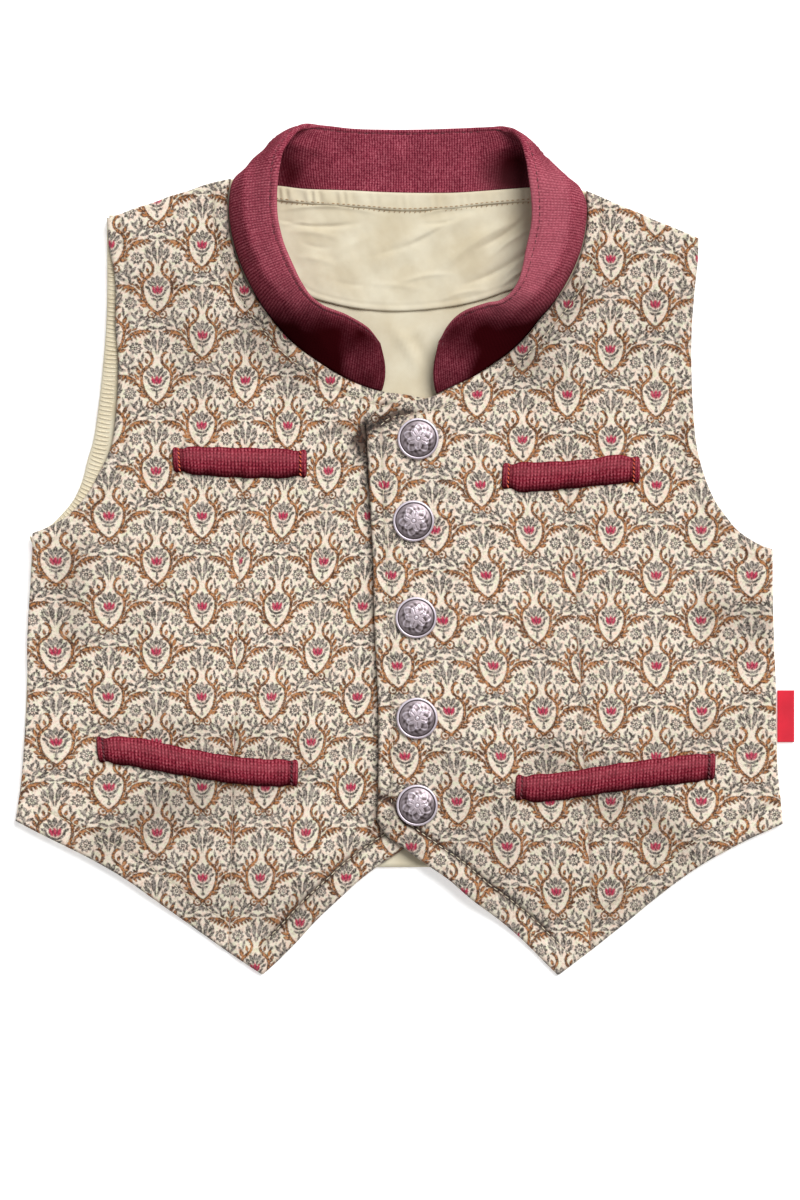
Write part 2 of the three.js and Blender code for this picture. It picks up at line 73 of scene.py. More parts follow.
# Rows of stitches, from the edge that they follow
EDGE_SEAM = 5.2
INNER_HEM_SEAM = 8.6
OUTER_HEM_SEAM = 9.0
COLLAR_SEAM = 1.9
# Length of the band's rounded section for each millimetre straight from seam to free edge
BAND_CURVE = 1.06
TACK_SEAM = 2.4

# Fullness of the fronts over the chest and the belly: x, y, reach in x, reach in y, height
SWELLS = [
    [-72, 42, 46, 60, 1.4],
    [-74, -48, 62, 78, 3],
    [72, 40, 46, 60, 1.4],
    [76, -50, 58, 78, 3],
]

# Soft folds of the fronts: start x, y, end x, y, width, height (minus is a trough)
FOLDS = [
    [-112, 8, -88, -42, 9, 0.7],
    [-103, -92, -84, -132, 8, 0.8],
    [-47, -96, -40, -136, 8, -0.6],
    [-96, 66, -70, 30, 8, 0.5],
    [112, 2, 92, -44, 9, 0.7],
    [98, -96, 84, -130, 8, 0.8],
    [48, -100, 50, -138, 8, -0.6],
    [96, 62, 72, 26, 8, 0.5],
]

# Panel outlines as x, y, each run from the hem up or from the side to the centre
RIGHT_FRONT = {
    "side": [[-146.2, -102.1], [-144, -86.7], [-142.9, -71.7], [-141.8, -56.7], [-141.8, -34.2],
        [-141, -19.2], [-139.9, -4.2], [-139.9, 5.9]],
    "armhole": [[-139.9, 5.9], [-133.8, 8.2], [-126.6, 12.4], [-122.3, 16.7], [-118.5, 21.5],
        [-115.6, 26.8], [-112.7, 32.5], [-110.3, 38.2], [-108.9, 45.9], [-107.9, 58.3],
        [-107.7, 72.7], [-108.6, 82], [-108.8, 101.3], [-111.2, 114.7], [-111.9, 124]],
    "shoulderOut": [[-111.9, 124], [-107.2, 125.5], [-101.2, 127.8], [-94.1, 130], [-88.5, 132.3]],
    "shoulderIn": [[-88.5, 132.3], [-81, 134.5], [-74.6, 136.8], [-65.2, 139]],
    "hemOut": [[-146.2, -102.1], [-137.6, -106.6], [-132.4, -109.2], [-117.4, -116.7],
        [-104.6, -124.2], [-94.1, -131.7], [-83.6, -139.2], [-73.1, -146.7], [-66.2, -151.6]],
    "hemTip": [[-66.2, -151.6], [-53.6, -160]],
    "hemIn": [[-53.6, -160], [-47.2, -154.2], [-39.8, -146.7], [-33, -139.2], [-25.1, -131.7],
        [-16.9, -124.2], [-10.1, -119], [-1.1, -113], [7.5, -107.7], [15, -102.5]],
    "dart": [[-66.2, -151.6], [-65, -120.5], [-64.7, -87.1], [-63.2, -55.2], [-62.8, -20.7],
        [-61.5, 13], [-60.8, 37], [-65, 60], [-75.5, 88], [-84, 112], [-88.5, 132.3]],
    "edge": [[15, -102.5], [15, 55]],
    "neck": [[15, 55], [7.1, 56.5], [-0.4, 58], [-8.2, 59], [-14.4, 60.8], [-19.1, 62.5],
        [-25.9, 65.9], [-31.2, 69.3], [-37.6, 73.6], [-44, 79], [-49.9, 85.9], [-56.2, 94.9],
        [-59.9, 100.9], [-63.4, 110.2], [-65.2, 115.8], [-66.2, 122.5], [-66.6, 129.3],
        [-66.2, 134.2], [-65.2, 139]],
}

LEFT_FRONT = {
    "side": [[141.8, -103.2], [141, -94.2], [140.2, -86.7], [139.5, -79.2], [139.1, -49.2],
        [138.4, -34.2], [138, -19.2], [138, -0.1]],
    "armhole": [[138, -0.1], [133.1, 1.6], [127.1, 5.2], [124.1, 7.6], [121.5, 10.8],
        [116.2, 18.3], [112.9, 25.8], [110.6, 33.3], [109.1, 40.8], [108.4, 48.3], [107.6, 63.3],
        [107.6, 82], [108.4, 93.3], [109.1, 100.8], [109.9, 108.3], [110.2, 116.5]],
    "shoulderOut": [[110.2, 116.5], [105, 118.8], [99.8, 121], [93.4, 123.5], [88, 126]],
    "shoulderIn": [[88, 126], [83.6, 127.8], [78.4, 130], [73.1, 132.3], [67.9, 134.5]],
    "hemOut": [[141.8, -103.2], [134.2, -106.6], [128.6, -109.2], [114.4, -116.7],
        [103.1, -124.2], [93.4, -131.7], [84.4, -139.2], [75, -146.7], [70.1, -150.6]],
    "hemTip": [[70.1, -150.6], [57.4, -160.2]],
    "hemIn": [[57.4, -160.2], [51.4, -154.2], [43.9, -146.7], [35.2, -139.2], [25.1, -131.7],
        [16.5, -124.2], [9, -119], [-1.1, -111.8], [-7.5, -107], [-10.5, -101.7]],
    "dart": [[70.1, -150.6], [69.4, -119], [66.8, -71], [64.9, -38], [63.3, -0.8], [61.5, 7.8],
        [60.4, 37], [65, 60], [75, 86], [83, 108], [88, 126]],
    "edge": [[-10.5, -101.7], [-10.1, -86.3], [-10.1, -59.3], [-11.6, -26.7], [-12, -5.7],
        [-13.5, 23.2], [-14.6, 46.8]],
    "neck": [[-14.6, 46.8], [-12.8, 49.8], [-10.1, 52.4], [-5.6, 54.3], [1.5, 55.4], [7.1, 56.2],
        [11, 57.4], [17.2, 60.7], [24.4, 64.1], [31.6, 67.9], [39.8, 74.2], [46, 80.3],
        [50.7, 86.1], [57, 93.7], [61.7, 100.9], [65.1, 108.1], [67.1, 114.8], [68.2, 120.8],
        [68.4, 125.9], [67.9, 134.5]],
}

# Back: its own hem, its left armhole under the front, and the neck seam
BACK_HEM = [[-146.2, -102.1], [-132.4, -109.2], [-117.4, -116.2], [-106, -119.2],
    [-60, -119.5], [0, -119.5], [60, -119.5], [102, -119.3], [114.4, -116.4], [128.6, -109.2],
    [141.8, -103.2]]
BACK_NECK = [[67.9, 134.1], [64, 135.6], [58, 137], [52, 137.2], [45.6, 136], [37.9, 135.2],
    [28.4, 134.4], [18.8, 133.8], [-0.4, 133.8], [-19.5, 134.4], [-29, 134.8], [-38.6, 135.6],
    [-46.5, 137.4], [-53, 139.4], [-59, 140.2], [-65.2, 138.6]]

BACK_LEFT_ARMHOLE = [[138, -0.4], [131, 0.9], [124, 5.4], [115.5, 16.5], [110.5, 29],
    [107.8, 42], [106.4, 58], [106.2, 80], [107.4, 98], [109, 108], [109.9, 116.3]]
BACK_RIGHT_SIDE = [[-146.2, -102.1], [-144, -86.7], [-141.8, -45], [-141, -19.2], [-139.8, 5.6]]
BACK_LEFT_SIDE = [[141.8, -103.2], [140.2, -86.7], [139.1, -49.2], [138.2, -19.2], [138, -0.4]]
BACK_RIGHT_SHOULDER = [[-111.9, 123.6], [-101.2, 127.4], [-88.5, 131.9], [-74.6, 136.4],
    [-65.2, 138.6]]
BACK_LEFT_SHOULDER = [[67.9, 134.1], [83.6, 127.4], [99.8, 120.6], [109.9, 116.3]]
# Part of the back's height that its side seams take, below the armholes
BACK_SIDE_PART = 0.44

# Facing turned to the inside round the back's right armhole, underarm to shoulder tip
FACING = {
    "outer": [[-139.8, 5.6], [-133.1, 8.9], [-130.9, 10.8], [-124.5, 18.3], [-121.1, 25.8],
        [-119.2, 33.3], [-117, 40.8], [-114.8, 55.8], [-113.2, 70.8], [-112.1, 85.8],
        [-111.8, 100], [-111.9, 123.6]],
    "inner": [[-139.8, -2.8], [-131, 0.4], [-123, 7], [-115, 17], [-110.6, 27], [-107.8, 40],
        [-105.4, 58], [-103.8, 80], [-103, 100], [-102.9, 126.8]],
}

# Half-moon yoke inside the back
YOKE = {
    "right": [[-47, 106], [-51.5, 118], [-52, 128], [-50, 134.6]],
    "left": [[47, 103.5], [51, 114], [52, 127], [50, 134.4]],
    "lower": [[-47, 106], [-41.5, 98.6], [-35.7, 94.6], [-29, 92.4], [-19.5, 90.3],
        [-9.9, 89.3], [-0.4, 89.1], [9.2, 89.8], [18.8, 91], [28.4, 93.2], [37.9, 96.5],
        [41.7, 98], [47, 103.5]],
    "upper": [[-50, 134.6], [-38.6, 133.9], [-19.5, 133.2], [-0.4, 132.4], [18.8, 132.6],
        [37.9, 133.8], [50, 134.4]],
}

# Tape that covers the neck seam inside the back
TAPE_TOP = [[-50, 136.4], [-46.5, 136.1], [-38.6, 135.1], [-29, 134.7], [-19.5, 134.4],
    [-9.9, 133.9], [-0.4, 133.6], [9.2, 133.5], [18.8, 133.6], [28.4, 134.2], [37.9, 134.9],
    [45.6, 135.5], [50, 135.6]]
TAPE_FOOT = [[-50, 130.8], [-38.6, 129.5], [-19.5, 128.1], [-0.4, 126.7], [9.2, 127],
    [18.8, 127.6], [28.4, 128.8], [46, 130.2], [50, 130.4]]

# Stand collar from its right front end round the neck: seam, roll and free edge, each x, y, z
COLLAR = [
    [[-8.4, 60.1, 3], [-7.4, 68.2, 5], [-9.6, 77, 6.4]],
    [[-14, 61.9, 3], [-13.1, 72, 6], [-13.4, 82.4, 8.2]],
    [[-25, 67.2, 3], [-23.2, 78, 8], [-22, 87.6, 11]],
    [[-36.4, 74.8, 3.2], [-33.4, 83, 10.6], [-30.4, 90.8, 15]],
    [[-42.8, 80.2, 3.4], [-39.4, 87, 13], [-34.8, 94, 18]],
    [[-48.8, 86.9, 3.4], [-45, 92.2, 14], [-37.8, 98, 19.4]],
    [[-55, 95.6, 3.4], [-50.8, 99.4, 14], [-41, 104.2, 19.4]],
    [[-61.9, 110.4, 3.4], [-57.2, 112.6, 13.4], [-45.6, 115.4, 18.4]],
    [[-64.7, 122.5, 3.4], [-60, 123.6, 13], [-47.5, 125, 18]],
    [[-65, 131, 3.4], [-60.4, 132.4, 13], [-47.6, 133.6, 17.8]],
    [[-63.6, 137.4, 3.4], [-60, 138.8, 11.6], [-46.9, 141, 17.4]],
    [[-60.2, 140.2, 3.3], [-57.4, 143, 9.4], [-45.8, 147.4, 16]],
    [[-54.4, 139.6, 2.7], [-52.9, 147, 7.4], [-43.2, 152.6, 13.4]],
    [[-47.4, 138, 1.6], [-47.6, 152, 4.6], [-39.4, 157, 8.6]],
    [[-39, 136.2, 1.1], [-40.6, 150.4, 2], [-34.6, 159, 3.4]],
    [[-29, 135.4, 1], [-29.4, 147.4, 1], [-28.6, 158.8, 1.2]],
    [[-19.5, 135.1, 1], [-19.5, 146.8, 1], [-19.5, 157.8, 1]],
    [[-0.4, 134.3, 1], [-0.4, 146.2, 1], [-0.4, 157.4, 1]],
    [[18.8, 134.4, 1], [18.8, 146.4, 1], [18.8, 157.9, 1]],
    [[29, 135, 1], [29.6, 147, 1], [28.6, 158.3, 1.2]],
    [[38, 135.8, 1.1], [40, 149.6, 2], [35.6, 158.2, 3.4]],
    [[46, 136.8, 1.5], [47.4, 149.6, 4.6], [40.4, 156, 8]],
    [[53, 137.3, 2.4], [52, 144.9, 7.4], [43.5, 151.8, 12.8]],
    [[59.4, 136.9, 3.1], [56.8, 140.6, 9], [44.9, 146, 15.6]],
    [[64.2, 134.9, 3.4], [61, 136.2, 11.4], [45.9, 139.2, 17]],
    [[66.8, 129.8, 3.4], [62.4, 130.8, 13], [46.9, 131.6, 17.6]],
    [[66.8, 121.4, 3.4], [62.2, 122.4, 13.2], [47.1, 122.4, 17.8]],
    [[64, 109.4, 3.4], [59.4, 111, 13.6], [45, 111.6, 18]],
    [[56, 94.8, 3.4], [52, 98.2, 14], [42.4, 100.4, 19]],
    [[49.6, 87.2, 3.4], [45.8, 91.6, 14], [39, 95, 18.6]],
    [[44.9, 81.5, 3.5], [41, 87.4, 13], [35.2, 92.5, 17]],
    [[38.9, 75.6, 4], [34.8, 83.6, 11.4], [30, 91.6, 15]],
    [[24.2, 65.5, 5.3], [22.8, 77, 9.4], [21.2, 88.4, 12]],
    [[16.8, 61.9, 5.5], [16.2, 72.4, 8.2], [16.2, 83.8, 10]],
    [[11.4, 59, 5.5], [10.6, 67.6, 7.4], [12.9, 77.6, 8.6]],
]

# Ribbed knit welts: upper and lower long edge
WELTS = {
    "welt_right_chest": {
        "upper": [[-87.4, 38.5], [-62, 37.9], [-36.8, 37.4]],
        "lower": [[-86.8, 28.4], [-62, 26.6], [-36.8, 26.5]],
    },
    "welt_left_chest": {
        "upper": [[36.6, 32.6], [52.1, 32.6], [68.5, 33.6], [80.6, 35.4], [88.2, 34.6]],
        "lower": [[36, 22.2], [44, 21.2], [60.4, 22.4], [76.5, 24], [88, 24.4]],
    },
    "welt_right_pocket": {
        "upper": [[-116, -70], [-99, -71], [-87.4, -73.6], [-76.1, -75.8], [-64.5, -77.7],
            [-52.9, -78.8], [-40, -78.6]],
        "lower": [[-115, -80.4], [-104.6, -81.3], [-93.2, -83.3], [-81.8, -85.3], [-70.1, -87.2],
            [-58.9, -88.6], [-40.2, -89.5]],
    },
    "welt_left_pocket": {
        "upper": [[41.6, -84.2], [47.2, -84.5], [58.5, -83.8], [70.1, -82], [81.6, -80.2],
            [93, -78.8], [104.6, -77.3], [116.6, -76.2]],
        "lower": [[41, -94.6], [49.9, -95], [58.5, -94.2], [70.1, -92.3], [81.6, -90.7],
            [93, -89.2], [104.6, -88], [116.2, -86.9]],
    },
}

# Half the side of the table that the vest lies on
TABLE_HALF = 3000

# Buttons from the neck down: x, y
BUTTONS = [[4.9, 41.2], [3.2, 10.4], [4.1, -25.8], [4.5, -63.5], [4.5, -96.1]]

# Side label: x and y of its near and far corner
LABEL = [[139.8, -72.6], [146.2, -53.1]]

# Sewing threads: light and dark colour
THREADS = {
    "cream": ((232, 222, 196), (204, 188, 156)),
    "tan": ((190, 160, 120), (150, 118, 84)),
    "wine": ((112, 28, 44), (70, 14, 28)),
    "orange": ((224, 96, 60), (190, 60, 40)),
}

# How the print lies on each front: x of its columns of tulips from the side seam inwards, half
# a repeat apart, y of a tulip in the first column, and the cloth the dart takes up at the hem
PRINT_LAY = {
    "right": {"columns": [-151, -131, -111, -93, -76, -60, -44, -28, -12, 5, 22, 39],
              "tulip": 46.6, "dart": 10.5},
    "left": {"columns": [149, 130, 111, 94, 77, 61, 44, 27, 9, -9, -27, -45],
             "tulip": 41.3, "dart": 12.5},
}
# Where the dart has taken up all of that cloth
HEM_Y = -125
# Width and height of the print's repeat on the back, and its height on the fronts
REPEAT_WIDTH = 34.9
REPEAT_HEIGHT = 33.9

# The print's small repeat, charted for one half of it in 93rds of its width from the tulip
CHART_WIDTH = 93.0
CHART_HEIGHT = 90.0
# Leaves: x, y, direction x, y, length, width
BROWN_LEAVES = [
    (15.2, 13.4, 0.45, 0.9, 9, 4.2), (18.0, 8.0, 0.4, 0.92, 9, 4.0),
    (19.4, 2.0, 0.62, 0.78, 8.5, 3.6), (12.6, -16.6, 0.98, 0.2, 9, 4.2),
    (15.6, -12.2, 0.94, 0.34, 9, 3.8), (9.8, 18.0, 0.3, 0.95, 6.5, 3.2),
    (18.4, -5.6, 0.8, 0.6, 9, 3.2), (27.6, 1.2, 0.95, 0.3, 17, 4.8),
    (21.4, -4.6, 0.6, -0.8, 6.5, 2.8), (24.8, -2.4, 0.62, -0.78, 7.5, 3.0),
    (28.6, -1.0, 0.66, -0.75, 7.5, 3.0), (32.4, 0.4, 0.7, -0.71, 7, 2.8),
    (35.8, 1.2, 0.78, -0.62, 6, 2.4), (37.6, 3.0, 0.97, -0.24, 9, 2.8),
    (24.6, 4.4, 0.9, 0.42, 7, 1.8),
]
GREY_LEAVES = [
    (0, 9.6, 0, 1, 8.5, 4.6), (4.3, 8.4, 0.36, 0.93, 8, 4.2), (7.8, 5.4, 0.62, 0.78, 7.6, 3.9),
    (2.1, 4.8, 0.25, 0.96, 5.5, 2.6), (5.0, 2.8, 0.55, 0.83, 5.2, 2.5),
    (9.8, 1.2, 0.85, 0.53, 6, 3.0), (0, -13.6, 0, 1, 9.5, 2.1), (3.2, -10.6, 0.92, 0.38, 6.5, 2.5),
    (0, -30.6, 0, 1, 8, 4.4), (3.2, -29.8, 0.75, 0.66, 6, 3.2), (3.2, -32.6, 0.9, -0.4, 6, 2.6),
    (3.2, 37.0, 0.1, 0.99, 16, 5.0), (8.4, 37.6, 0.5, 0.86, 10, 3.6),
    (9.4, 31.8, 0.74, 0.67, 10, 3.4), (4.2, 44.6, 0.6, -0.8, 10, 2.8),
    (4.8, 51.4, 0.96, 0.28, 10, 3.2), (9.0, 50.2, 0.6, -0.8, 5, 2.2),
    (1.4, 29.2, 0.16, 0.98, 9, 1.9), (13.6, 21.8, -0.12, 0.99, 10, 2.6),
    (16.8, 17.8, 0.7, 0.7, 6.5, 2.8), (24.3, 17.8, -0.66, 0.75, 10, 3.2),
    (30.6, 14.8, 0.5, 0.86, 10, 3.4), (27.2, 9.6, 0.15, 0.98, 12, 2.8),
    (34.6, 9.4, 0.96, 0.27, 10.5, 3.4), (22.2, 11.4, -0.92, 0.38, 8, 3.0),
    (31.2, 21.0, 0.1, 0.99, 7, 2.8), (37.4, 14.8, 0.6, 0.8, 7, 2.8),
    (20.6, -24.6, -0.5, 0.86, 8.5, 2.9), (14.4, -28.8, 0.8, 0.6, 8.5, 3.2),
    (9.4, -32.8, 0.9, -0.42, 8, 3.0), (35.6, -8.6, 0.3, -0.95, 8, 2.4),
    (38.6, 1.4, 0.4, -0.92, 6, 2.2), (24.6, 5.6, 0.75, -0.66, 6, 2.2),
    (17.0, -20.6, 0.2, 0.98, 5.5, 2.2), (40.6, -16.4, 0.2, 0.98, 6, 2.0),
]
RED_LEAVES = [(0, -0.8, 0, 1, 8.4, 4.4), (3.2, -1.3, 0.36, 0.93, 8, 3.8)]
DARK_LEAVES = [(1.7, -0.6, 0.16, 0.98, 6.5, 1.5), (0, -4.4, 0, 1, 3, 2.6),
               (4.6, -2.4, 0.4, 0.9, 4, 1.2)]
# Strokes: centre x, y, radius, half width, and the disc x, y, radius that the stroke stays in
BROWN_STROKES = [
    (-14, 1, 29.0, 1.6, 8, -12, 17.4), (4, 2, 11.2, 1.75, 13.4, 8.4, 7.8),
    (12.5, 20, 8.0, 1.5, 4.6, 20.4, 9.2), (33, -16, 18.0, 1.1, 21.5, -4, 9.5),
    (5.7, -25.2, 3.6, 0.8, 5.7, -25.2, 9),
]
GREY_STROKES = [
    (0, 0.6, 8.4, 1.2, 0, -6, 10.2), (14, -22, 6.5, 0.9, 12, -29, 5),
]
# Rosettes: x, y, radius of their ring of petals; dots: x, y, radius
ROSETTES = [(26.3, -14.4, 4.5)]
BROWN_DOTS = [(5.2, -25.2, 1.5)]
GREY_DOTS = [(46.5, 27.5, 1.8)]

# Fine creases pressed into the fronts: start x, y, end x, y, width, height (minus is a trough)
CREASES = [
    (-128, -30, -96, -44, 3.0, -0.25), (-134, -62, -110, -70, 3.4, 0.25),
    (-58, 66, -40, 50, 2.6, -0.2), (-98, 96, -80, 84, 3.2, 0.22),
    (-46, 12, -34, -30, 3.4, -0.2), (-30, -52, -18, -96, 3.0, 0.22),
    (-120, -84, -104, -96, 3.2, -0.28), (-78, -112, -62, -132, 2.8, 0.24),
    (26, 26, 42, 6, 2.8, -0.22), (30, -38, 46, -62, 3.2, 0.24),
    (84, 8, 104, -12, 3.2, -0.24), (104, -30, 128, -40, 3.4, 0.26),
    (22, -74, 38, -108, 3.0, -0.22), (90, 88, 76, 70, 3.0, 0.22),
    (98, -62, 122, -70, 3.2, -0.24), (60, -104, 78, -126, 2.8, 0.22),
    (94, 40, 82, 14, 2.6, 0.2), (-104, 40, -92, 18, 2.6, -0.2),
    (4, 53.5, -20, 40, 2.0, -2.0), (6, 56, -16, 48, 2.4, 0.8), (0, 47, -14, 36, 2.4, 0.7),
    (-27, 46, -14, 36, 2.6, -0.9), (-34, 36, -16, 30, 3, -0.5), (10, 53, 32, 44, 2.6, -0.4),
    (-16, 40, -12, 24, 2.2, -0.5),
]
# Painted shade of deep pinches beside the top button and at the notch: start x, y, end x, y, width,
# darkness (minus)
PINCH_SHADE = [
    (7, 52.4, -14, 44.6, 2.4, -1.9), (-6, 48.4, -23, 36.5, 2.2, -1.9),
    (-13.5, 51, -17.0, 30, 2.4, -1.2), (-12, 46, -36, 41, 1.8, -0.6),
    (-2, 55.4, -12, 52.6, 1.4, -0.6),
    (-14, 40, -28, 30, 1.4, -0.3), (2, 50, 24, 45, 1.4, -0.3), (-4, 44, -10, 36, 1.4, -0.35),
    (12, 30, 22, 14, 1.6, -0.25), (12, -4, 24, -14, 1.6, -0.25), (-2, 24, -10, 14, 1.4, -0.3),
]
# Painted broad soft shadows of the fronts: start x, y, end x, y, reach, painted shade (minus is
# painted light)
SHADOWS = [
    (-47, -83, -88, -95, 11, 0.30), (-101, -102, -114, -112, 8, 0.24),
    (-88, -116, -44, -138, 22, 0.15), (-124, -2, -124, -32, 7, 0.24),
    (-92, 98, -80, 72, 15, 0.20), (-58, 82, -40, 65, 8, 0.36), (-112, -66, -60, -71, 6, 0.13),
    (-4, -100, 2, -112, 9, 0.18), (-16, -42, 6, -50, 17, -0.12), (-34, -2, 4, -18, 24, -0.05),
    (56, -81, 84, -95, 11, 0.30), (97, -104, 108, -113, 8, 0.26), (36, -126, 92, -126, 20, 0.13),
    (14, -84, 36, -108, 13, 0.18), (116, -24, 136, -28, 9, 0.28), (43, 72, 62, 96, 10, 0.36),
    (60, 64, 48, 70, 8, 0.16), (120, -68, 100, -73, 7, 0.14), (78, 72, 98, 92, 13, 0.13),
]
# Wrinkles of the lining inside the back
LINING_CREASES = [
    (-14, 103, 33, 127, 4.2, 0.55), (-16, 109, 24, 128, 2.4, -0.4), (10, 101, 50, 126, 3.4, 0.5),
    (18, 98, 50, 115, 2.2, -0.5), (30, 107, 50, 121, 1.5, 0.35), (26, 112, 48, 128, 1.4, -0.35),
    (36, 100, 49, 112, 1.1, 0.28), (38, 104, 50, 118, 1.0, -0.26), (-50, 126.2, -8, 125.2, 1.0, 0.32),
    (-50, 124.0, -14, 122.8, 1.2, -0.36), (-49, 121.2, -30, 120.4, 1.0, 0.2),
    (-47, 118.6, -22, 115.4, 1.8, 0.16), (-40, 115.4, -26, 113, 1.2, -0.12),
    (-43, 109.4, -24, 105.6, 2.2, 0.15), (-31, 101.6, -2, 99.8, 1.7, -0.1),
    (-22, 97.4, 10, 96.2, 1.6, 0.12), (44, 98, 50, 130, 2.2, -0.5), (2, 124, 30, 127.4, 1.1, 0.26),
    (4, 122, 22, 124.6, 0.8, -0.2), (-6, 98, 20, 103, 1.4, 0.2), (34, 96, 48, 106, 1.2, 0.3),
    (-27, 108, -12, 118, 1.8, 0.13), (12, 92.6, 33, 97, 1.2, 0.16),
    (-8, 86, 6, 64, 2.4, 0.34), (2, 84, 12, 66, 1.8, -0.34), (-6, 74, 10, 84, 1.8, 0.26),
]


def clamp01(t):
    return np.clip(t, 0.0, 1.0)


def ease(t):
    t = clamp01(t)
    return t * t * (3 - 2 * t)


def curve_at(points, stations):
    """A smooth line through the points, read at fractional stations 0 to n - 1."""
    p = np.array([list(q) + [0.0] * (3 - len(q)) for q in points], float)
    p = np.vstack([2 * p[0] - p[1], p, 2 * p[-1] - p[-2]])
    i = np.clip(np.floor(stations).astype(int), 0, len(points) - 2)
    w = (stations - i)[:, None]
    a, b, c, d = p[i], p[i + 1], p[i + 2], p[i + 3]
    da, db, dc = (np.maximum(np.linalg.norm(v, axis=1)[:, None] ** 0.5, 1e-4)
                  for v in (b - a, c - b, d - c))
    s = ((b - a) / da - (c - a) / (da + db) + (c - b) / db) * db
    e = ((c - b) / db - (d - b) / (db + dc) + (d - c) / dc) * db
    return b + s * w + (3 * (c - b) - 2 * s - e) * w ** 2 + (2 * (b - c) + s + e) * w ** 3


def resample(line, shares):
    """Points at shares 0 to 1 of the length of a dense line."""
    run = np.concatenate([[0], np.cumsum(np.linalg.norm(np.diff(line, axis=0), axis=1))])
    want = np.atleast_1d(shares) * run[-1]
    return np.column_stack([np.interp(want, run, line[:, k]) for k in range(3)])


def along(points, shares):
    """Points at shares 0 to 1 of the length of the smooth line through the given ones."""
    stations = np.linspace(0, len(points) - 1, 60 * (len(points) - 1) + 1)
    return resample(curve_at(points, stations), shares)


def dense(points, n=160):
    return along(points, np.linspace(0, 1, n))


def two_runs(first, second, part, shares):
    """Two smooth lines end to end, the first one taking the given part of the shares."""
    low = along(first, clamp01(shares / part))
    high = along(second, clamp01((shares - part) / (1 - part)))
    return np.where((shares <= part)[:, None], low, high)


def fill(left, right, lower, upper, us, vs):
    """Rows of points that fill four edges."""
    u = us[None, :, None]
    v = vs[:, None, None]
    across = left[:, None, :] * (1 - u) + right[:, None, :] * u
    up = lower[None, :, :] * (1 - v) + upper[None, :, :] * v
    corners = (lower[0] * (1 - u) + lower[-1] * u) * (1 - v) + (
        upper[0] * (1 - u) + upper[-1] * u) * v
    return across + up - corners


def close_ends(n, fine):
    """Shares 0 to 1 in n even steps, with extra ones close to both ends."""
    return np.array(sorted(set(np.linspace(0, 1, n + 1)) | set(fine)
                           | {1 - f for f in fine}))


def line_distance(x, y, line, signed=False):
    """Distance of points from a line of points, minus on its left-hand side if signed."""
    line = np.asarray(line, float)[:, :2]
    best = np.full(np.shape(x), 1e9)
    side = 1
    for (ax, ay), (bx, by) in zip(line[:-1], line[1:]):
        ux, uy = bx - ax, by - ay
        t = clamp01(((x - ax) * ux + (y - ay) * uy) / max(ux * ux + uy * uy, 1e-9))
        d = np.hypot(x - ax - t * ux, y - ay - t * uy)
        if signed:
            turn = np.sign((x - ax) * uy - (y - ay) * ux + 1e-12)
            side = np.where(d < best, turn, side)
        best = np.minimum(best, d)
    return best * side


def fold_place(x, y, x0, y0, x1, y1):
    """Share of the way along a fold, distance off it and the fold's length."""
    long = math.hypot(x1 - x0, y1 - y0)
    share = ((x - x0) * (x1 - x0) + (y - y0) * (y1 - y0)) / long ** 2
    off = ((x - x0) * (y1 - y0) - (y - y0) * (x1 - x0)) / long
    return clamp01(share), off, long


def ridges(x, y, table):
    """Height of a table of slightly bent creases that run out at both ends."""
    total = np.zeros(np.shape(x))
    for x0, y0, x1, y1, width, height in table:
        share, off, long = fold_place(x, y, x0, y0, x1, y1)
        run = np.sin(np.pi * share)
        off = off + 0.07 * long * run * (1 if height > 0 else -1)
        total += height * run ** 1.5 * np.exp(-2 * np.abs(off / width) ** 1.5)
    return total


def folds(x, y):
    """Height of the fronts' soft folds, as in the part."""
    total = np.zeros(np.shape(x))
    for x0, y0, x1, y1, width, height in FOLDS:
        share, off, _ = fold_place(x, y, x0, y0, x1, y1)
        total += height * np.sin(np.pi * share) * np.exp(-2 * (off / width) ** 2)
    return total


def swell(x, y):
    total = np.zeros(np.shape(x))
    for cx, cy, rx, ry, height in SWELLS:
        d = np.minimum(1, np.hypot((x - cx) / rx, (y - cy) / ry))
        total += height * np.cos(np.pi / 2 * d) ** 2
    return total


def uneven(x, y, size, seed=0.0):
    """Slow waves of the cloth, about -1 to 1, the same at every run."""
    a, b = x / size, y / size
    return (np.sin(1.7 * a + 2.3 * b + seed) * np.cos(2.9 * a - 1.3 * b + 1.7 * seed)
            + 0.6 * np.sin(4.1 * a + 0.7 + seed) * np.sin(3.7 * b - 1.1 + seed)
            + 0.4 * np.cos(6.3 * a - 5.1 * b + 2.2 * seed)) / 1.6


def edge_drop(d, radius):
    """How far a skin falls below its level within a rounded edge's radius."""
    t = 1 - clamp01(d / radius)
    return radius * (1 - np.sqrt(np.maximum(0, 1 - t * t)))


def bell(d, width):
    """1 where the distance is nothing, falling softly away within about the width."""
    return np.exp(-((d / width) ** 2))


def below_dart(y):
    """1 below a front's dart top and 0 above it."""
    return ease((DART_TOP_Y - y) / 12)


def front_under(x, y, lapped):
    """Under side of a front, as in the part."""
    x = np.asarray(x, float)
    y = np.asarray(y, float)
    over = 0.0
    if not lapped:
        reach = line_distance(x, y, FACING["inner"], signed=True)
        over = (LINING_THICK + GAP) * (1 - ease((reach - 2) / FACING_REACH))
    hem = np.interp(x, [p[0] for p in BACK_HEM], [p[1] for p in BACK_HEM])
    hem = np.where((x < BACK_HEM[0][0]) | (x > BACK_HEM[-1][0]), BEYOND_HEM_Y, hem)
    drop = (BACK_THICK + GAP) * ease((hem - TIP_START - y) / TIP_DROP)
    lap = 0.0
    if lapped:
        lap = LAP_RISE * (1 - ease((x - LAP_FLAT_X) / (LAP_END_X - LAP_FLAT_X)))
    full = swell(x, y)
    return BACK_THICK + GAP - drop + lap + over + full + folds(x, y) * clamp01(full)


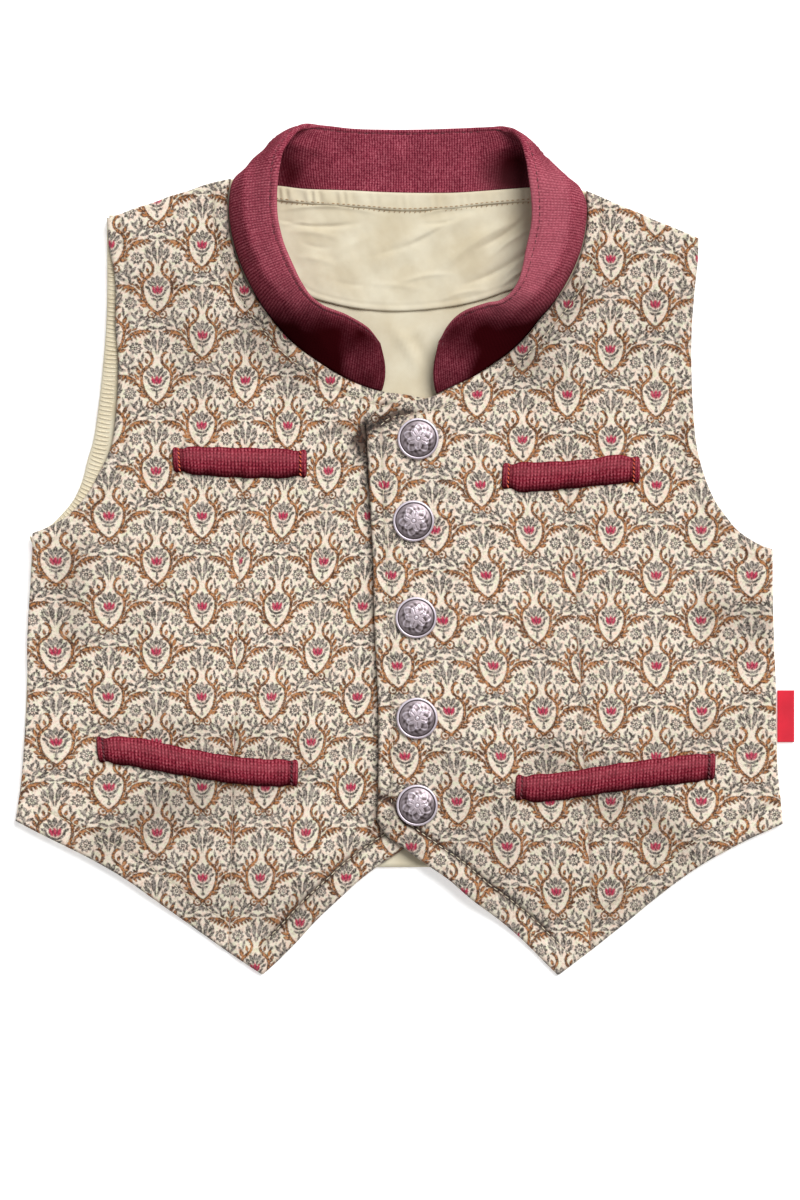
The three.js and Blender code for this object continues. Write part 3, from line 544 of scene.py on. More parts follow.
def in_scene(name, data):
    """A new object for the data, linked to the scene."""
    obj = bpy.data.objects.new(name, data)
    bpy.context.scene.collection.objects.link(obj)
    return obj


def new_mesh(name, points, faces, materials, smooth=True):
    """A mesh object in metres from points in millimetres."""
    mesh = bpy.data.meshes.new(name)
    mesh.from_pydata((np.asarray(points) * MM).tolist(), [], faces)
    mesh.update()
    for material in materials:
        mesh.materials.append(material)
    if smooth:
        mesh.polygons.foreach_set("use_smooth", np.ones(len(mesh.polygons), bool))
    return in_scene(name, mesh)


def put_value(obj, name, values):
    attribute = obj.data.attributes.new(name, "FLOAT", "POINT")
    attribute.data.foreach_set("value", np.asarray(values, float))


def put_grid(obj, name, values):
    """One value for each point of a shell's grid, the same on both of its skins."""
    put_value(obj, name, np.tile(values.ravel(), 2))


def put_uv(obj, name, u, v):
    """A UV map from two grids of numbers, the same on both skins of a shell."""
    pairs = np.stack(np.broadcast_arrays(u, v), -1).reshape(-1, 2)
    layer = obj.data.uv_layers.new(name=name)
    corner = np.empty(len(obj.data.loops), int)
    obj.data.loops.foreach_get("vertex_index", corner)
    layer.data.foreach_set("uv", np.tile(pairs, (2, 1))[corner].ravel())


def lifted(x, y, z):
    """Points of a grid at the given heights."""
    return np.stack(np.broadcast_arrays(x, y, z), -1)


def grid_shell(name, under, over, materials, mirrored=False):
    """A closed cloth shell between two grids of points; faces point outwards."""
    rows, columns = under.shape[:2]
    points = np.vstack([under.reshape(-1, 3), over.reshape(-1, 3)])
    index = np.arange(rows * columns).reshape(rows, columns)
    a, b, c, d = index[:-1, :-1], index[:-1, 1:], index[1:, 1:], index[1:, :-1]
    low = np.stack([a, d, c, b], -1).reshape(-1, 4)
    up = np.stack([a, b, c, d], -1).reshape(-1, 4) + rows * columns
    top = index + rows * columns
    walls = []
    for e, f, flip in ((index[0], top[0], 0), (index[-1], top[-1], 1),
                       (index[:, 0], top[:, 0], 1), (index[:, -1], top[:, -1], 0)):
        quad = np.stack([e[:-1], e[1:], f[1:], f[:-1]], -1)
        walls.append(quad[:, ::-1] if flip else quad)
    faces = np.vstack([low, up] + walls)
    if mirrored:
        faces = faces[:, ::-1]
    return new_mesh(name, points, faces.tolist(), materials)


def finish_piece(obj, nodes):
    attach(obj, "root")
    if nodes:
        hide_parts(*nodes)


# Materials


class Weaver:
    """Builds one material's nodes, a call for each kind of node."""

    def __init__(self, name, roughness, sheen=0.0, metallic=0.0):
        self.material = bpy.data.materials.new(name)
        self.material.use_nodes = True
        self.tree = self.material.node_tree
        self.shader = self.tree.nodes["Principled BSDF"]
        self.shader.inputs["Roughness"].default_value = roughness
        self.shader.inputs["Metallic"].default_value = metallic
        if sheen:
            self.shader.inputs["Sheen Weight"].default_value = sheen
            self.shader.inputs["Sheen Roughness"].default_value = 0.6

    def node(self, kind, **settings):
        made = self.tree.nodes.new(kind)
        for key, value in settings.items():
            setattr(made, key, value)
        return made

    def wire(self, value, socket):
        if isinstance(value, bpy.types.NodeSocket):
            self.tree.links.new(value, socket)
        else:
            socket.default_value = value

    def math(self, operation, a, b=0.0, c=0.0, clamp=False):
        made = self.node("ShaderNodeMath", operation=operation, use_clamp=clamp)
        for value, socket in zip((a, b, c), made.inputs):
            self.wire(value, socket)
        return made.outputs[0]

    def distance(self, place, x, y):
        made = self.node("ShaderNodeVectorMath", operation="DISTANCE")
        self.wire(place, made.inputs[0])
        made.inputs[1].default_value = (x, y, 0)
        return made.outputs["Value"]

    def noise(self, scale, detail=2.0, place=None):
        made = self.node("ShaderNodeTexNoise")
        made.inputs["Scale"].default_value = scale
        made.inputs["Detail"].default_value = detail
        self.wire(place or self.object_place(), made.inputs["Vector"])
        return made.outputs["Fac"]

    def object_place(self):
        if not hasattr(self, "_object"):
            self._object = self.node("ShaderNodeTexCoord").outputs["Object"]
        return self._object

    def uv(self, name):
        return self.node("ShaderNodeUVMap", uv_map=name).outputs["UV"]

    def split(self, vector):
        made = self.node("ShaderNodeSeparateXYZ")
        self.wire(vector, made.inputs[0])
        return made.outputs[0], made.outputs[1]

    def combine(self, x, y):
        made = self.node("ShaderNodeCombineXYZ")
        self.wire(x, made.inputs[0])
        self.wire(y, made.inputs[1])
        return made.outputs[0]

    def ramp(self, value, stops):
        made = self.node("ShaderNodeValToRGB")
        made.color_ramp.elements[0].position = stops[0][0]
        made.color_ramp.elements[0].color = linear(stops[0][1])
        made.color_ramp.elements[1].position = stops[-1][0]
        made.color_ramp.elements[1].color = linear(stops[-1][1])
        for position, colour in stops[1:-1]:
            made.color_ramp.elements.new(position).color = linear(colour)
        self.wire(value, made.inputs[0])
        return made.outputs[0]

    def blend(self, factor, a, b, kind="MIX"):
        made = self.node("ShaderNodeMix", data_type="RGBA", blend_type=kind)
        self.wire(factor, made.inputs[0])
        self.wire(linear(a) if isinstance(a, tuple) else a, made.inputs[6])
        self.wire(linear(b) if isinstance(b, tuple) else b, made.inputs[7])
        return made.outputs[2]

    def bump(self, height, distance, strength):
        made = self.node("ShaderNodeBump")
        made.inputs["Strength"].default_value = strength
        made.inputs["Distance"].default_value = distance * MM
        self.wire(height, made.inputs["Height"])
        self.wire(made.outputs[0], self.shader.inputs["Normal"])

    def attribute(self, name):
        return self.node("ShaderNodeAttribute", attribute_name=name).outputs["Fac"]

    def colour(self, value):
        self.wire(value, self.shader.inputs["Base Color"])
        return self.material


def linear(colour):
    """A colour as scene light from its usual 0 to 255 numbers."""
    return tuple(((c / 255 + 0.055) / 1.055) ** 2.4 if c > 10 else c / 3295
                 for c in colour) + (1.0,)


def leaf_discs(leaf):
    """The two discs whose overlap is a pointed leaf, and their radius."""
    x, y, dx, dy, length, width = leaf
    size = math.hypot(dx, dy)
    dx, dy = dx / size, dy / size
    off = (length ** 2 - width ** 2) / (4 * width)
    radius = off + width / 2
    return (x - dy * off, y + dx * off), (x + dy * off, y - dx * off), radius


def images(x, y, reach):
    """Where a motif and its half-drop copies fall in the charted part of the repeat."""
    found = []
    for drop in (-2, -1, 0, 1, 2):
        px = x if drop % 2 == 0 else CHART_WIDTH / 2 - x
        py = y + drop * CHART_HEIGHT / 2
        for side in (1, -1):
            for step in (0, CHART_WIDTH):
                qx = side * px + step
                if (-reach < qx < CHART_WIDTH / 2 + reach
                        and abs(py) < CHART_HEIGHT / 4 + reach):
                    flip = side * (1 if drop % 2 == 0 else -1)
                    if all(math.hypot(qx - f[0], py - f[1]) > 0.3 for f in found):
                        found.append((qx, py, flip))
    return found


def nearest(w, so_far, d):
    return d if so_far is None else w.math("MINIMUM", so_far, d)


def leaf_cover(w, place, leaves):
    total = None
    for leaf in leaves:
        x, y, dx, dy, length, width = leaf
        for qx, qy, flip in images(x, y, length / 2):
            first, second, radius = leaf_discs((qx, qy, dx * flip, dy, length, width))
            far = w.math("MAXIMUM", w.distance(place, *first), w.distance(place, *second))
            total = nearest(w, total, w.math("SUBTRACT", far, radius))
    return total


def stroke_cover(w, place, strokes, total):
    for x, y, radius, half, ix, iy, inside in strokes:
        for qx, qy, flip in images(ix, iy, inside):
            drop = qy - iy
            cx = qx + (x - ix) * flip
            ring = w.math("SUBTRACT", w.distance(place, cx, y + drop), radius)
            ring = w.math("SUBTRACT", w.math("ABSOLUTE", ring), half)
            keep = w.math("SUBTRACT", w.distance(place, qx, qy), inside)
            total = nearest(w, total, w.math("MAXIMUM", ring, keep))
    return total


def dot_cover(w, place, dots, total):
    for x, y, radius in dots:
        for qx, qy, _ in images(x, y, radius):
            total = nearest(w, total, w.math("SUBTRACT", w.distance(place, qx, qy), radius))
    return total


def rosette_cover(w, place, total):
    for x, y, radius in ROSETTES:
        for qx, qy, _ in images(x, y, radius + 3):
            px, py = w.split(place)
            dx = w.math("SUBTRACT", px, qx)
            dy = w.math("SUBTRACT", py, qy)
            angle = w.math("ARCTAN2", dy, dx)
            petals = w.math("COSINE", w.math("MULTIPLY", angle, 9.0))
            far = w.distance(place, qx, qy)
            ring = w.math("ABSOLUTE", w.math("SUBTRACT", far, radius))
            ring = w.math("SUBTRACT", ring, w.math("MULTIPLY_ADD", petals, 0.8, 1.35))
            total = nearest(w, total, ring)
            heart = w.math("SUBTRACT", w.math("ABSOLUTE", w.math("SUBTRACT", far, 1.3)), 0.75)
            total = nearest(w, total, heart)
    return total


def printed_cotton(name, looks):
    """Cream twill with the small half-drop ogee print in brown, grey and red."""
    w = Weaver(name, 0.88, sheen=0.08)
    u, v = w.split(w.uv("print"))
    # Uneven hand of the print: each repeat is a little off the next
    wander = w.noise(0.9, 2.0, w.uv("print"))
    u = w.math("MULTIPLY_ADD", w.math("SUBTRACT", wander, 0.5), 0.05, u)
    rows = w.math("MULTIPLY", v, 2.0)
    row = w.math("ROUND", rows)
    y = w.math("MULTIPLY", w.math("SUBTRACT", rows, row), CHART_HEIGHT / 2)
    across = w.math("MULTIPLY_ADD", row, 0.5, u)
    x = w.math("ABSOLUTE", w.math("SUBTRACT", across, w.math("ROUND", across)))
    place = w.combine(w.math("MULTIPLY", x, CHART_WIDTH), y)
    ragged = w.math("MULTIPLY", w.math("SUBTRACT", w.noise(2100, 2.0), 0.5), 2.2)

    def mask(cover, soft=0.55):
        return w.math("MULTIPLY_ADD", w.math("ADD", cover, ragged), -1 / (2 * soft), 0.54,
                      clamp=True)

    def ink(cover, light, dark):
        """Deep at a figure's rim, lighter in its heart, broken by the grain of the cloth."""
        heart = w.math("MULTIPLY_ADD", cover, -0.62, -0.3, clamp=True)
        level = w.math("MULTIPLY_ADD", heart, 0.16, w.math("MULTIPLY_ADD", dose, 0.34, grain))
        return w.ramp(level, [(0.66, dark), (0.86, light)])

    # Threads of the ground show through the colours in fine flecks
    grain = w.noise(1150, 1.5)
    dose = w.noise(260, 2.0)
    fleck = w.ramp(w.noise(1350, 1.5), [(0.34, (204, 204, 204)), (0.50, (255, 255, 255))])
    speck = w.ramp(w.noise(1250, 1.0), [(0.49, (0, 0, 0)), (0.70, (168, 168, 168))])
    brown = leaf_cover(w, place, BROWN_LEAVES)
    brown = stroke_cover(w, place, BROWN_STROKES, brown)
    brown = dot_cover(w, place, BROWN_DOTS, brown)
    grey = leaf_cover(w, place, GREY_LEAVES)
    grey = stroke_cover(w, place, GREY_STROKES, grey)
    grey = dot_cover(w, place, GREY_DOTS, grey)
    grey = rosette_cover(w, place, grey)
    red = leaf_cover(w, place, RED_LEAVES)
    dark = leaf_cover(w, place, DARK_LEAVES)
    ground = w.ramp(w.noise(160, 3.0), [(0.3, looks["ground_low"]), (0.7, looks["ground"])])
    hue = w.ramp(w.noise(620, 2.0), [(0.34, (255, 242, 239)), (0.5, (255, 255, 255)),
                                     (0.66, (242, 253, 240))])
    ground = w.blend(1.0, ground, hue, "MULTIPLY")
    ground = w.blend(speck, ground, looks["speck"])
    cloth = w.blend(w.math("MULTIPLY", mask(grey), fleck), ground,
                    ink(grey, looks["grey"], looks["grey_low"]))
    firm = w.math("MULTIPLY_ADD", fleck, 0.4, 0.6, clamp=True)
    cloth = w.blend(w.math("MULTIPLY", mask(brown), firm), cloth,
                    ink(brown, looks["brown"], looks["brown_low"]))
    cloth = w.blend(w.math("MULTIPLY", mask(red, 0.8), firm), cloth, looks["red"])
    cloth = w.blend(w.math("MULTIPLY", mask(dark), 0.8), cloth, looks["red_low"])
    twill = twill_height(w, 0.55)
    cloth = w.blend(w.math("MULTIPLY", twill, 0.24), cloth, looks["thread"], "MULTIPLY")
    # Painted shade from the front's shade attribute: sewn grooves, pinched creases, the lap's edge
    # and broad shadows
    cloth = w.blend(w.attribute("shade"), cloth, looks["crease"], "MULTIPLY")
    w.bump(twill, 0.08, 0.7)
    return w.colour(cloth)


def twill_height(w, pitch):
    """Fine slanting rows of thread, read in object coordinates."""
    x, y = w.split(w.object_place())
    turn = 2 * math.pi / (pitch * MM)
    slant = w.math("SINE", w.math("MULTIPLY", w.math("ADD", x, y), turn * 0.72))
    rows = w.math("SINE", w.math("MULTIPLY", w.math("SUBTRACT", y, w.math("MULTIPLY", x, 0.2)),
                                 turn * 1.4))
    both = w.math("MULTIPLY_ADD", slant, 0.3, w.math("MULTIPLY_ADD", rows, 0.2, 0.5))
    rough = w.math("SUBTRACT", w.noise(900, 2.0), 0.5)
    return w.math("ADD", both, w.math("MULTIPLY", rough, 0.7), clamp=True)


def plain_cotton(name, light, shade, pitch=0.45):
    """Plain woven cotton or tape."""
    w = Weaver(name, 0.9, sheen=0.06)
    patch = w.noise(70, 4.0)
    cloth = w.ramp(patch, [(0.32, shade), (0.66, light)])
    weave = twill_height(w, pitch)
    cloth = w.blend(w.math("MULTIPLY", weave, 0.2), cloth, (206, 190, 150), "MULTIPLY")
    w.bump(weave, 0.05, 0.5)
    return w.colour(cloth)


def knit_cloth(name, looks, pitch, family="knit"):
    """Ribbed knit whose wales run across the band: the map is millimetres along and across."""
    plain, low, high = (looks[family + part] for part in ("", "_low", "_high"))
    w = Weaver(name, 0.95)
    w.shader.inputs["Specular IOR Level"].default_value = 0.02
    s, t = w.split(w.uv("knit"))
    s = w.math("MULTIPLY_ADD", w.math("SUBTRACT", w.noise(0.25, 2.0, w.uv("knit")), 0.5), 0.9, s)
    wale = w.math("ABSOLUTE", w.math("SINE", w.math("MULTIPLY", s, math.pi / pitch)))
    # Each wale is a column of slanting loops
    loop = w.math("SINE", w.math("MULTIPLY_ADD", t, 2 * math.pi / (pitch * 0.9),
                                 w.math("MULTIPLY", wale, 3.2)))
    height = w.math("MULTIPLY_ADD", loop, 0.1, w.math("MULTIPLY_ADD", wale, 0.5, 0.2))
    height = w.math("MULTIPLY_ADD", w.math("SUBTRACT", w.noise(1300, 3.0), 0.5), 1.1, height)
    # The ramp paints shade between the wales and highlight on their raised tops
    cloth = w.ramp(height, [(0.15, low), (0.55, plain), (1.0, high)])
    worn = w.math("ADD", w.math("MULTIPLY", w.noise(55, 3.0), 0.3),
                  w.math("MULTIPLY", w.noise(240, 2.0), 0.2))
    cloth = w.blend(worn, cloth, low, "MULTIPLY")
    # Painted shade and painted highlight, from the piece's attributes
    cloth = w.blend(w.attribute("depth"), cloth, looks["knit_deep"])
    cloth = w.blend(w.attribute("bloom"), cloth, high)
    w.bump(height, 0.16, 0.7)
    return w.colour(cloth)


def cast_metal(name, light, dark):
    """Antiqued metal, dark where the relief is low and rubbed bright where it is high, with painted
    light on one side of each button.
    """
    w = Weaver(name, 0.45, metallic=0.6)
    spots = w.noise(420, 4.0)
    level = w.math("MULTIPLY_ADD", w.math("SUBTRACT", spots, 0.5), 0.3, w.attribute("wear"))
    cloth = w.ramp(level, [(0.12, dark), (0.5, light), (0.95, (236, 226, 238))])
    w.bump(spots, 0.04, 0.3)
    return w.colour(cloth)


def thread(name, light, dark):
    """Sewing thread."""
    w = Weaver(name, 0.7, sheen=0.2)
    return w.colour(w.ramp(w.noise(2200, 2.0), [(0.35, dark), (0.65, light)]))


# Pieces


def offset_line(line, distance):
    """The line moved sideways, to its left where the distance is positive."""
    line = np.asarray(line, float)[:, :2]
    run = np.gradient(line, axis=0)
    run /= np.maximum(np.linalg.norm(run, axis=1)[:, None], 1e-9)
    return line + distance * np.column_stack([-run[:, 1], run[:, 0]])


def front_outline(cut):
    return np.vstack([dense(cut["side"]), dense(cut["armhole"]), dense(cut["shoulderOut"], 40),
                      dense(cut["shoulderIn"], 30), dense(cut["neck"])[::-1],
                      dense(cut["edge"], 60)[::-1], dense(cut["hemIn"])[::-1],
                      dense(cut["hemTip"], 20)[::-1], dense(cut["hemOut"])[::-1]])


def seam_distances(x, y, cut):
    """Distances from a front's edge and neck, inner hem, outer hem, armhole and dart."""
    return [line_distance(x, y, line) for line in (
        np.vstack([dense(cut["edge"], 60), dense(cut["neck"], 90)]),
        np.vstack([dense(cut["hemTip"], 12), dense(cut["hemIn"], 90)]),
        dense(cut["hemOut"], 90), dense(cut["armhole"], 90), dense(cut["dart"], 120))]


def front_relief(x, y, cut):
    """Sewn and pressed relief of a front's top: rounded edges, grooves, dart and creases."""
    d_edge = line_distance(x, y, front_outline(cut))
    d_seam, d_hem, d_out, d_arm, d_dart = seam_distances(x, y, cut)
    z = -edge_drop(d_edge, 1.1)
    corner = 1 + 1.6 * bell(x - cut["neck"][0][0], 16) * ease((y - 30) / 10)
    z -= 0.34 * corner * bell(d_seam - EDGE_SEAM, 0.8)
    z -= 0.7 * bell(d_hem - INNER_HEM_SEAM, 1.0) * ease((d_out - 11) / 7)
    z -= 0.25 * bell(d_out - OUTER_HEM_SEAM, 0.9) * ease((d_hem - 11) / 7)
    z += 0.4 * bell(d_hem - 4.2, 2.6) + 0.15 * bell(d_out - 4.4, 2.6)
    z -= 0.2 * bell(d_arm - EDGE_SEAM, 0.8)
    z -= below_dart(y) * (0.5 * bell(d_dart, 0.75) + 0.3 * bell(d_dart, 4))
    # Puckers of the sewn edges
    z += 0.16 * uneven(x, y, 4.5) * bell(np.minimum(d_hem, d_out) - 6, 4)
    z += 0.12 * uneven(x, y, 4, 1.3) * bell(d_seam - 4, 3)
    z += 0.12 * uneven(x, y, 4, 2.1) * bell(d_arm - 4, 3)
    z += 0.1 * uneven(x, y, 12, 0.4) + 0.16 * uneven(x, y, 34, 0.9)
    return z + ridges(x, y, CREASES), d_edge


def front_shade(x, y, cut, lapped):
    """Painted shade of a front: deeper in its sewn grooves, its pinched creases, under the lap and in
    broad soft shadows, lighter in a few pools of painted light.
    """
    seam, hem, out, arm, dart = seam_distances(x, y, cut)
    dart = dart + 40 * (1 - below_dart(y))
    tone = 0.28 * bell(seam - EDGE_SEAM, 0.8) + 0.22 * bell(arm - EDGE_SEAM, 0.8)
    tone += 0.2 * bell(out - OUTER_HEM_SEAM, 0.9) * ease((hem - 11) / 7)
    drawn = (0.78 + 0.2 * uneven(x, y, 17, 0.7)) * ease((out - 11) / 7)
    tone += drawn * (bell(hem - INNER_HEM_SEAM, 1.0) + 0.22 * bell(hem - 10, 2.4))
    tone += 0.12 * bell(dart, 0.8) + 0.3 * bell(np.minimum.reduce([seam, out, hem, arm]), 0.8)
    if not lapped:
        # Painted shadow that the lapped front's edge casts on this front
        lap = line_distance(x, y, dense(LEFT_FRONT["edge"], 60))
        tone += (0.62 + 0.3 * ease((y - 5) / 30)) * np.exp(-((lap / 1.9) ** 1.3)) * (x < 0)
    # Painted shade in the pinched creases
    tone = tone * (1 + 0.2 * uneven(x, y, 7, 2.6)) + np.maximum(0, -ridges(x, y, PINCH_SHADE))
    tone += 0.04 * uneven(x, y, 38, 0.3)
    # Painted broad shadows and pools of painted light
    for x0, y0, x1, y1, reach, depth in SHADOWS:
        tone += depth * bell(line_distance(x, y, [[x0, y0], [x1, y1]]), reach)
    return np.clip(tone, 0, 0.92)


def front_grid(cut):
    fine = (0.0012, 0.0030, 0.0055)
    vs = np.union1d(close_ends(226, fine), np.arange(0.0255, 0.052, 0.0017))
    left = two_runs(cut["side"], cut["armhole"], 9 / 24, vs)
    right = two_runs(cut["edge"], cut["neck"], 13 / 24, vs)
    dart = along(cut["dart"], vs)
    us = close_ends(66, (0.005, 0.012))
    uc = close_ends(100, (0.004, 0.010))
    side = fill(left, dart, along(cut["hemOut"], us), along(cut["shoulderOut"], us), us, vs)
    centre = fill(dart, right, two_runs(cut["hemTip"], cut["hemIn"], 2 / 12, uc),
                  along(cut["shoulderIn"], uc), uc, vs)
    return np.concatenate([side[:, :-1], centre], axis=1)


def print_place(x, y, cut, lay):
    """The print's repeats across and up at points of a front."""
    inwards = np.sign(lay["columns"][1] - lay["columns"][0])
    dart = np.array(sorted(cut["dart"], key=lambda s: s[1]))
    past_dart = (x - np.interp(y, dart[:, 1], dart[:, 0])) * inwards > 0
    taken = lay["dart"] * np.maximum(0, (DART_TOP_Y - y) / (DART_TOP_Y - HEM_Y))
    columns = inwards * np.array(lay["columns"])
    across = np.interp(inwards * x + past_dart * taken, columns, np.arange(len(columns)) / 2)
    return across, (y - lay["tulip"]) / REPEAT_HEIGHT


def build_front(name, cut, lay, lapped, material):
    grid = front_grid(cut)
    x, y = grid[..., 0], grid[..., 1]
    under = front_under(x, y, lapped)
    relief, d_edge = front_relief(x, y, cut)
    low = under + 0.75 * edge_drop(d_edge, 1.0)
    top = np.maximum(under + FRONT_THICK + relief, low + 0.05)
    obj = grid_shell(name, lifted(x, y, low), lifted(x, y, top), [material])
    put_grid(obj, "shade", front_shade(x, y, cut, lapped))
    put_uv(obj, "print", *print_place(x, y, cut, lay))
    return obj


def back_grid(n):
    us = close_ends(n, (0.003,))
    vs = close_ends(n, (0.003,))
    left = two_runs(BACK_RIGHT_SIDE, FACING["outer"], BACK_SIDE_PART, vs)
    right = two_runs(BACK_LEFT_SIDE, BACK_LEFT_ARMHOLE, BACK_SIDE_PART, vs)
    top = np.vstack([dense(BACK_RIGHT_SHOULDER, 40), dense(BACK_NECK[::-1], 80)[1:],
                     dense(BACK_LEFT_SHOULDER, 40)[1:]])
    return fill(left, right, along(BACK_HEM, us), resample(top, us), us, vs)


def build_back(name, outside, inside):
    """The back, print cloth outside and lining inside, which shows in the neck and notch."""
    grid = back_grid(150)
    x, y = grid[..., 0], grid[..., 1]
    outline = np.vstack([grid[0], grid[:, -1], grid[-1][::-1], grid[:, 0][::-1]])
    drop = edge_drop(line_distance(x, y, outline), 0.7)
    open_part = ease((18 - np.abs(x)) / 6) * ease((y - 52) / 6)
    top = np.maximum(BACK_THICK - drop + open_part * 2.6 * ridges(x, y, LINING_CREASES), 0.9)
    obj = grid_shell(name, lifted(x, y, 0.5 * drop), lifted(x, y, top), [outside, inside])
    skin = (len(x) - 1) * (len(x[0]) - 1)
    chosen = np.zeros(len(obj.data.polygons), int)
    chosen[skin:2 * skin] = 1
    obj.data.polygons.foreach_set("material_index", chosen)
    put_uv(obj, "print", x / REPEAT_WIDTH, y / REPEAT_HEIGHT)
    return obj


def strip_grid(first, second, n, rows):
    """Points from one line to another, rows across."""
    s = np.linspace(0, 1, n + 1)
    a, b = along(first, s), along(second, s)
    t = np.array(rows)[:, None, None]
    return a[None] * (1 - t) + b[None] * t


def build_facing(name, material):
    rows = [0, 0.03, 0.08, 0.2, 0.35, 0.5, 0.65, 0.8, 0.92, 1]
    grid = strip_grid(FACING["outer"], FACING["inner"], 260, rows)
    x, y = grid[..., 0], grid[..., 1]
    base = BACK_THICK + 0.02
    d = np.minimum(line_distance(x, y, dense(FACING["outer"])),
                   line_distance(x, y, dense(FACING["inner"])))
    top = base + LINING_THICK + GAP - edge_drop(d, 0.7) + 0.1 * uneven(x, y, 9, 0.7)
    return grid_shell(name, lifted(x, y, base), lifted(x, y, top), [material], mirrored=True)


def build_yoke(name, material):
    vs = close_ends(70, (0.004, 0.01))
    us = close_ends(110, (0.003, 0.008))
    lower = along(YOKE["lower"], us)
    grid = fill(along(YOKE["right"], vs), along(YOKE["left"], vs), lower,
                along(YOKE["upper"], us), us, vs)
    x, y = grid[..., 0], grid[..., 1]
    d = line_distance(x, y, lower)
    base = BACK_THICK + 0.05
    z = base + LINING_THICK + 0.25 - edge_drop(d, 0.9) + 2.6 * ridges(x, y, LINING_CREASES)
    z += 0.2 * uneven(x, y, 9, 0.2) + 0.07 * uneven(x, y, 3.4, 1.1) - 0.16 * bell(d - 2.2, 0.5)
    return grid_shell(name, lifted(x, y, base), lifted(x, y, z), [material])


def build_tape(name, material):
    rows = [0, 0.06, 0.14, 0.3, 0.5, 0.7, 0.84, 0.94, 1]
    grid = strip_grid(TAPE_FOOT, TAPE_TOP, 240, rows)
    x, y = grid[..., 0], grid[..., 1]
    d = np.minimum(line_distance(x, y, dense(TAPE_FOOT)), line_distance(x, y, dense(TAPE_TOP)))
    gather = ease((-12 - x) / 20) * 0.26 + 0.07
    z = TAPE_BASE + LINING_THICK - edge_drop(d, 0.7)
    z += gather * np.sin(x * 1.5 + 1.6 * np.sin(0.55 * x) + 0.2 * y) * ease(d / 1.5)
    z += 0.1 * uneven(x, y, 6, 1.9) * ease(d / 1.5)
    return grid_shell(name, lifted(x, y, TAPE_BASE), lifted(x, y, z), [material])


def collar_surface(stations, shares):
    """Middle surface of the band and its normals, with millimetres along and across."""
    seam, roll, free = (curve_at(line, stations) for line in zip(*COLLAR))
    t = shares[:, None, None]
    middle = ((1 - t) * (1 - 2 * t) * seam[None] + 4 * t * (1 - t) * roll[None]
              + t * (2 * t - 1) * free[None])
    run = np.gradient(middle, axis=1)
    rise = np.gradient(middle, shares, axis=0)
    normal = np.cross(run, rise)
    normal /= np.maximum(np.linalg.norm(normal, axis=-1)[..., None], 1e-9)
    half = len(shares) // 2
    steps = np.linalg.norm(np.diff(middle[half], axis=0), axis=-1)
    s = np.concatenate([[0], np.cumsum(steps)])
    wide = np.linalg.norm(free - seam, axis=-1)
    return middle, normal, s, wide


def collar_half(s, shares, wide):
    """Half thickness of the band: rounded edges, a stitched groove and a soft rim."""
    d_free = (1 - shares)[:, None] * wide[None] * BAND_CURVE
    d = np.minimum(d_free, np.minimum(s, s[-1] - s)[None])
    t = 1 - clamp01(d / 0.95)
    half = np.sqrt(np.maximum(0, 1 - t * t)) * KNIT_THICK / 2
    half = half * (1 + 0.12 * bell(d - 0.9, 0.5)) - 0.3 * bell(d - COLLAR_SEAM, 0.36)
    return np.maximum(half, 0.02)


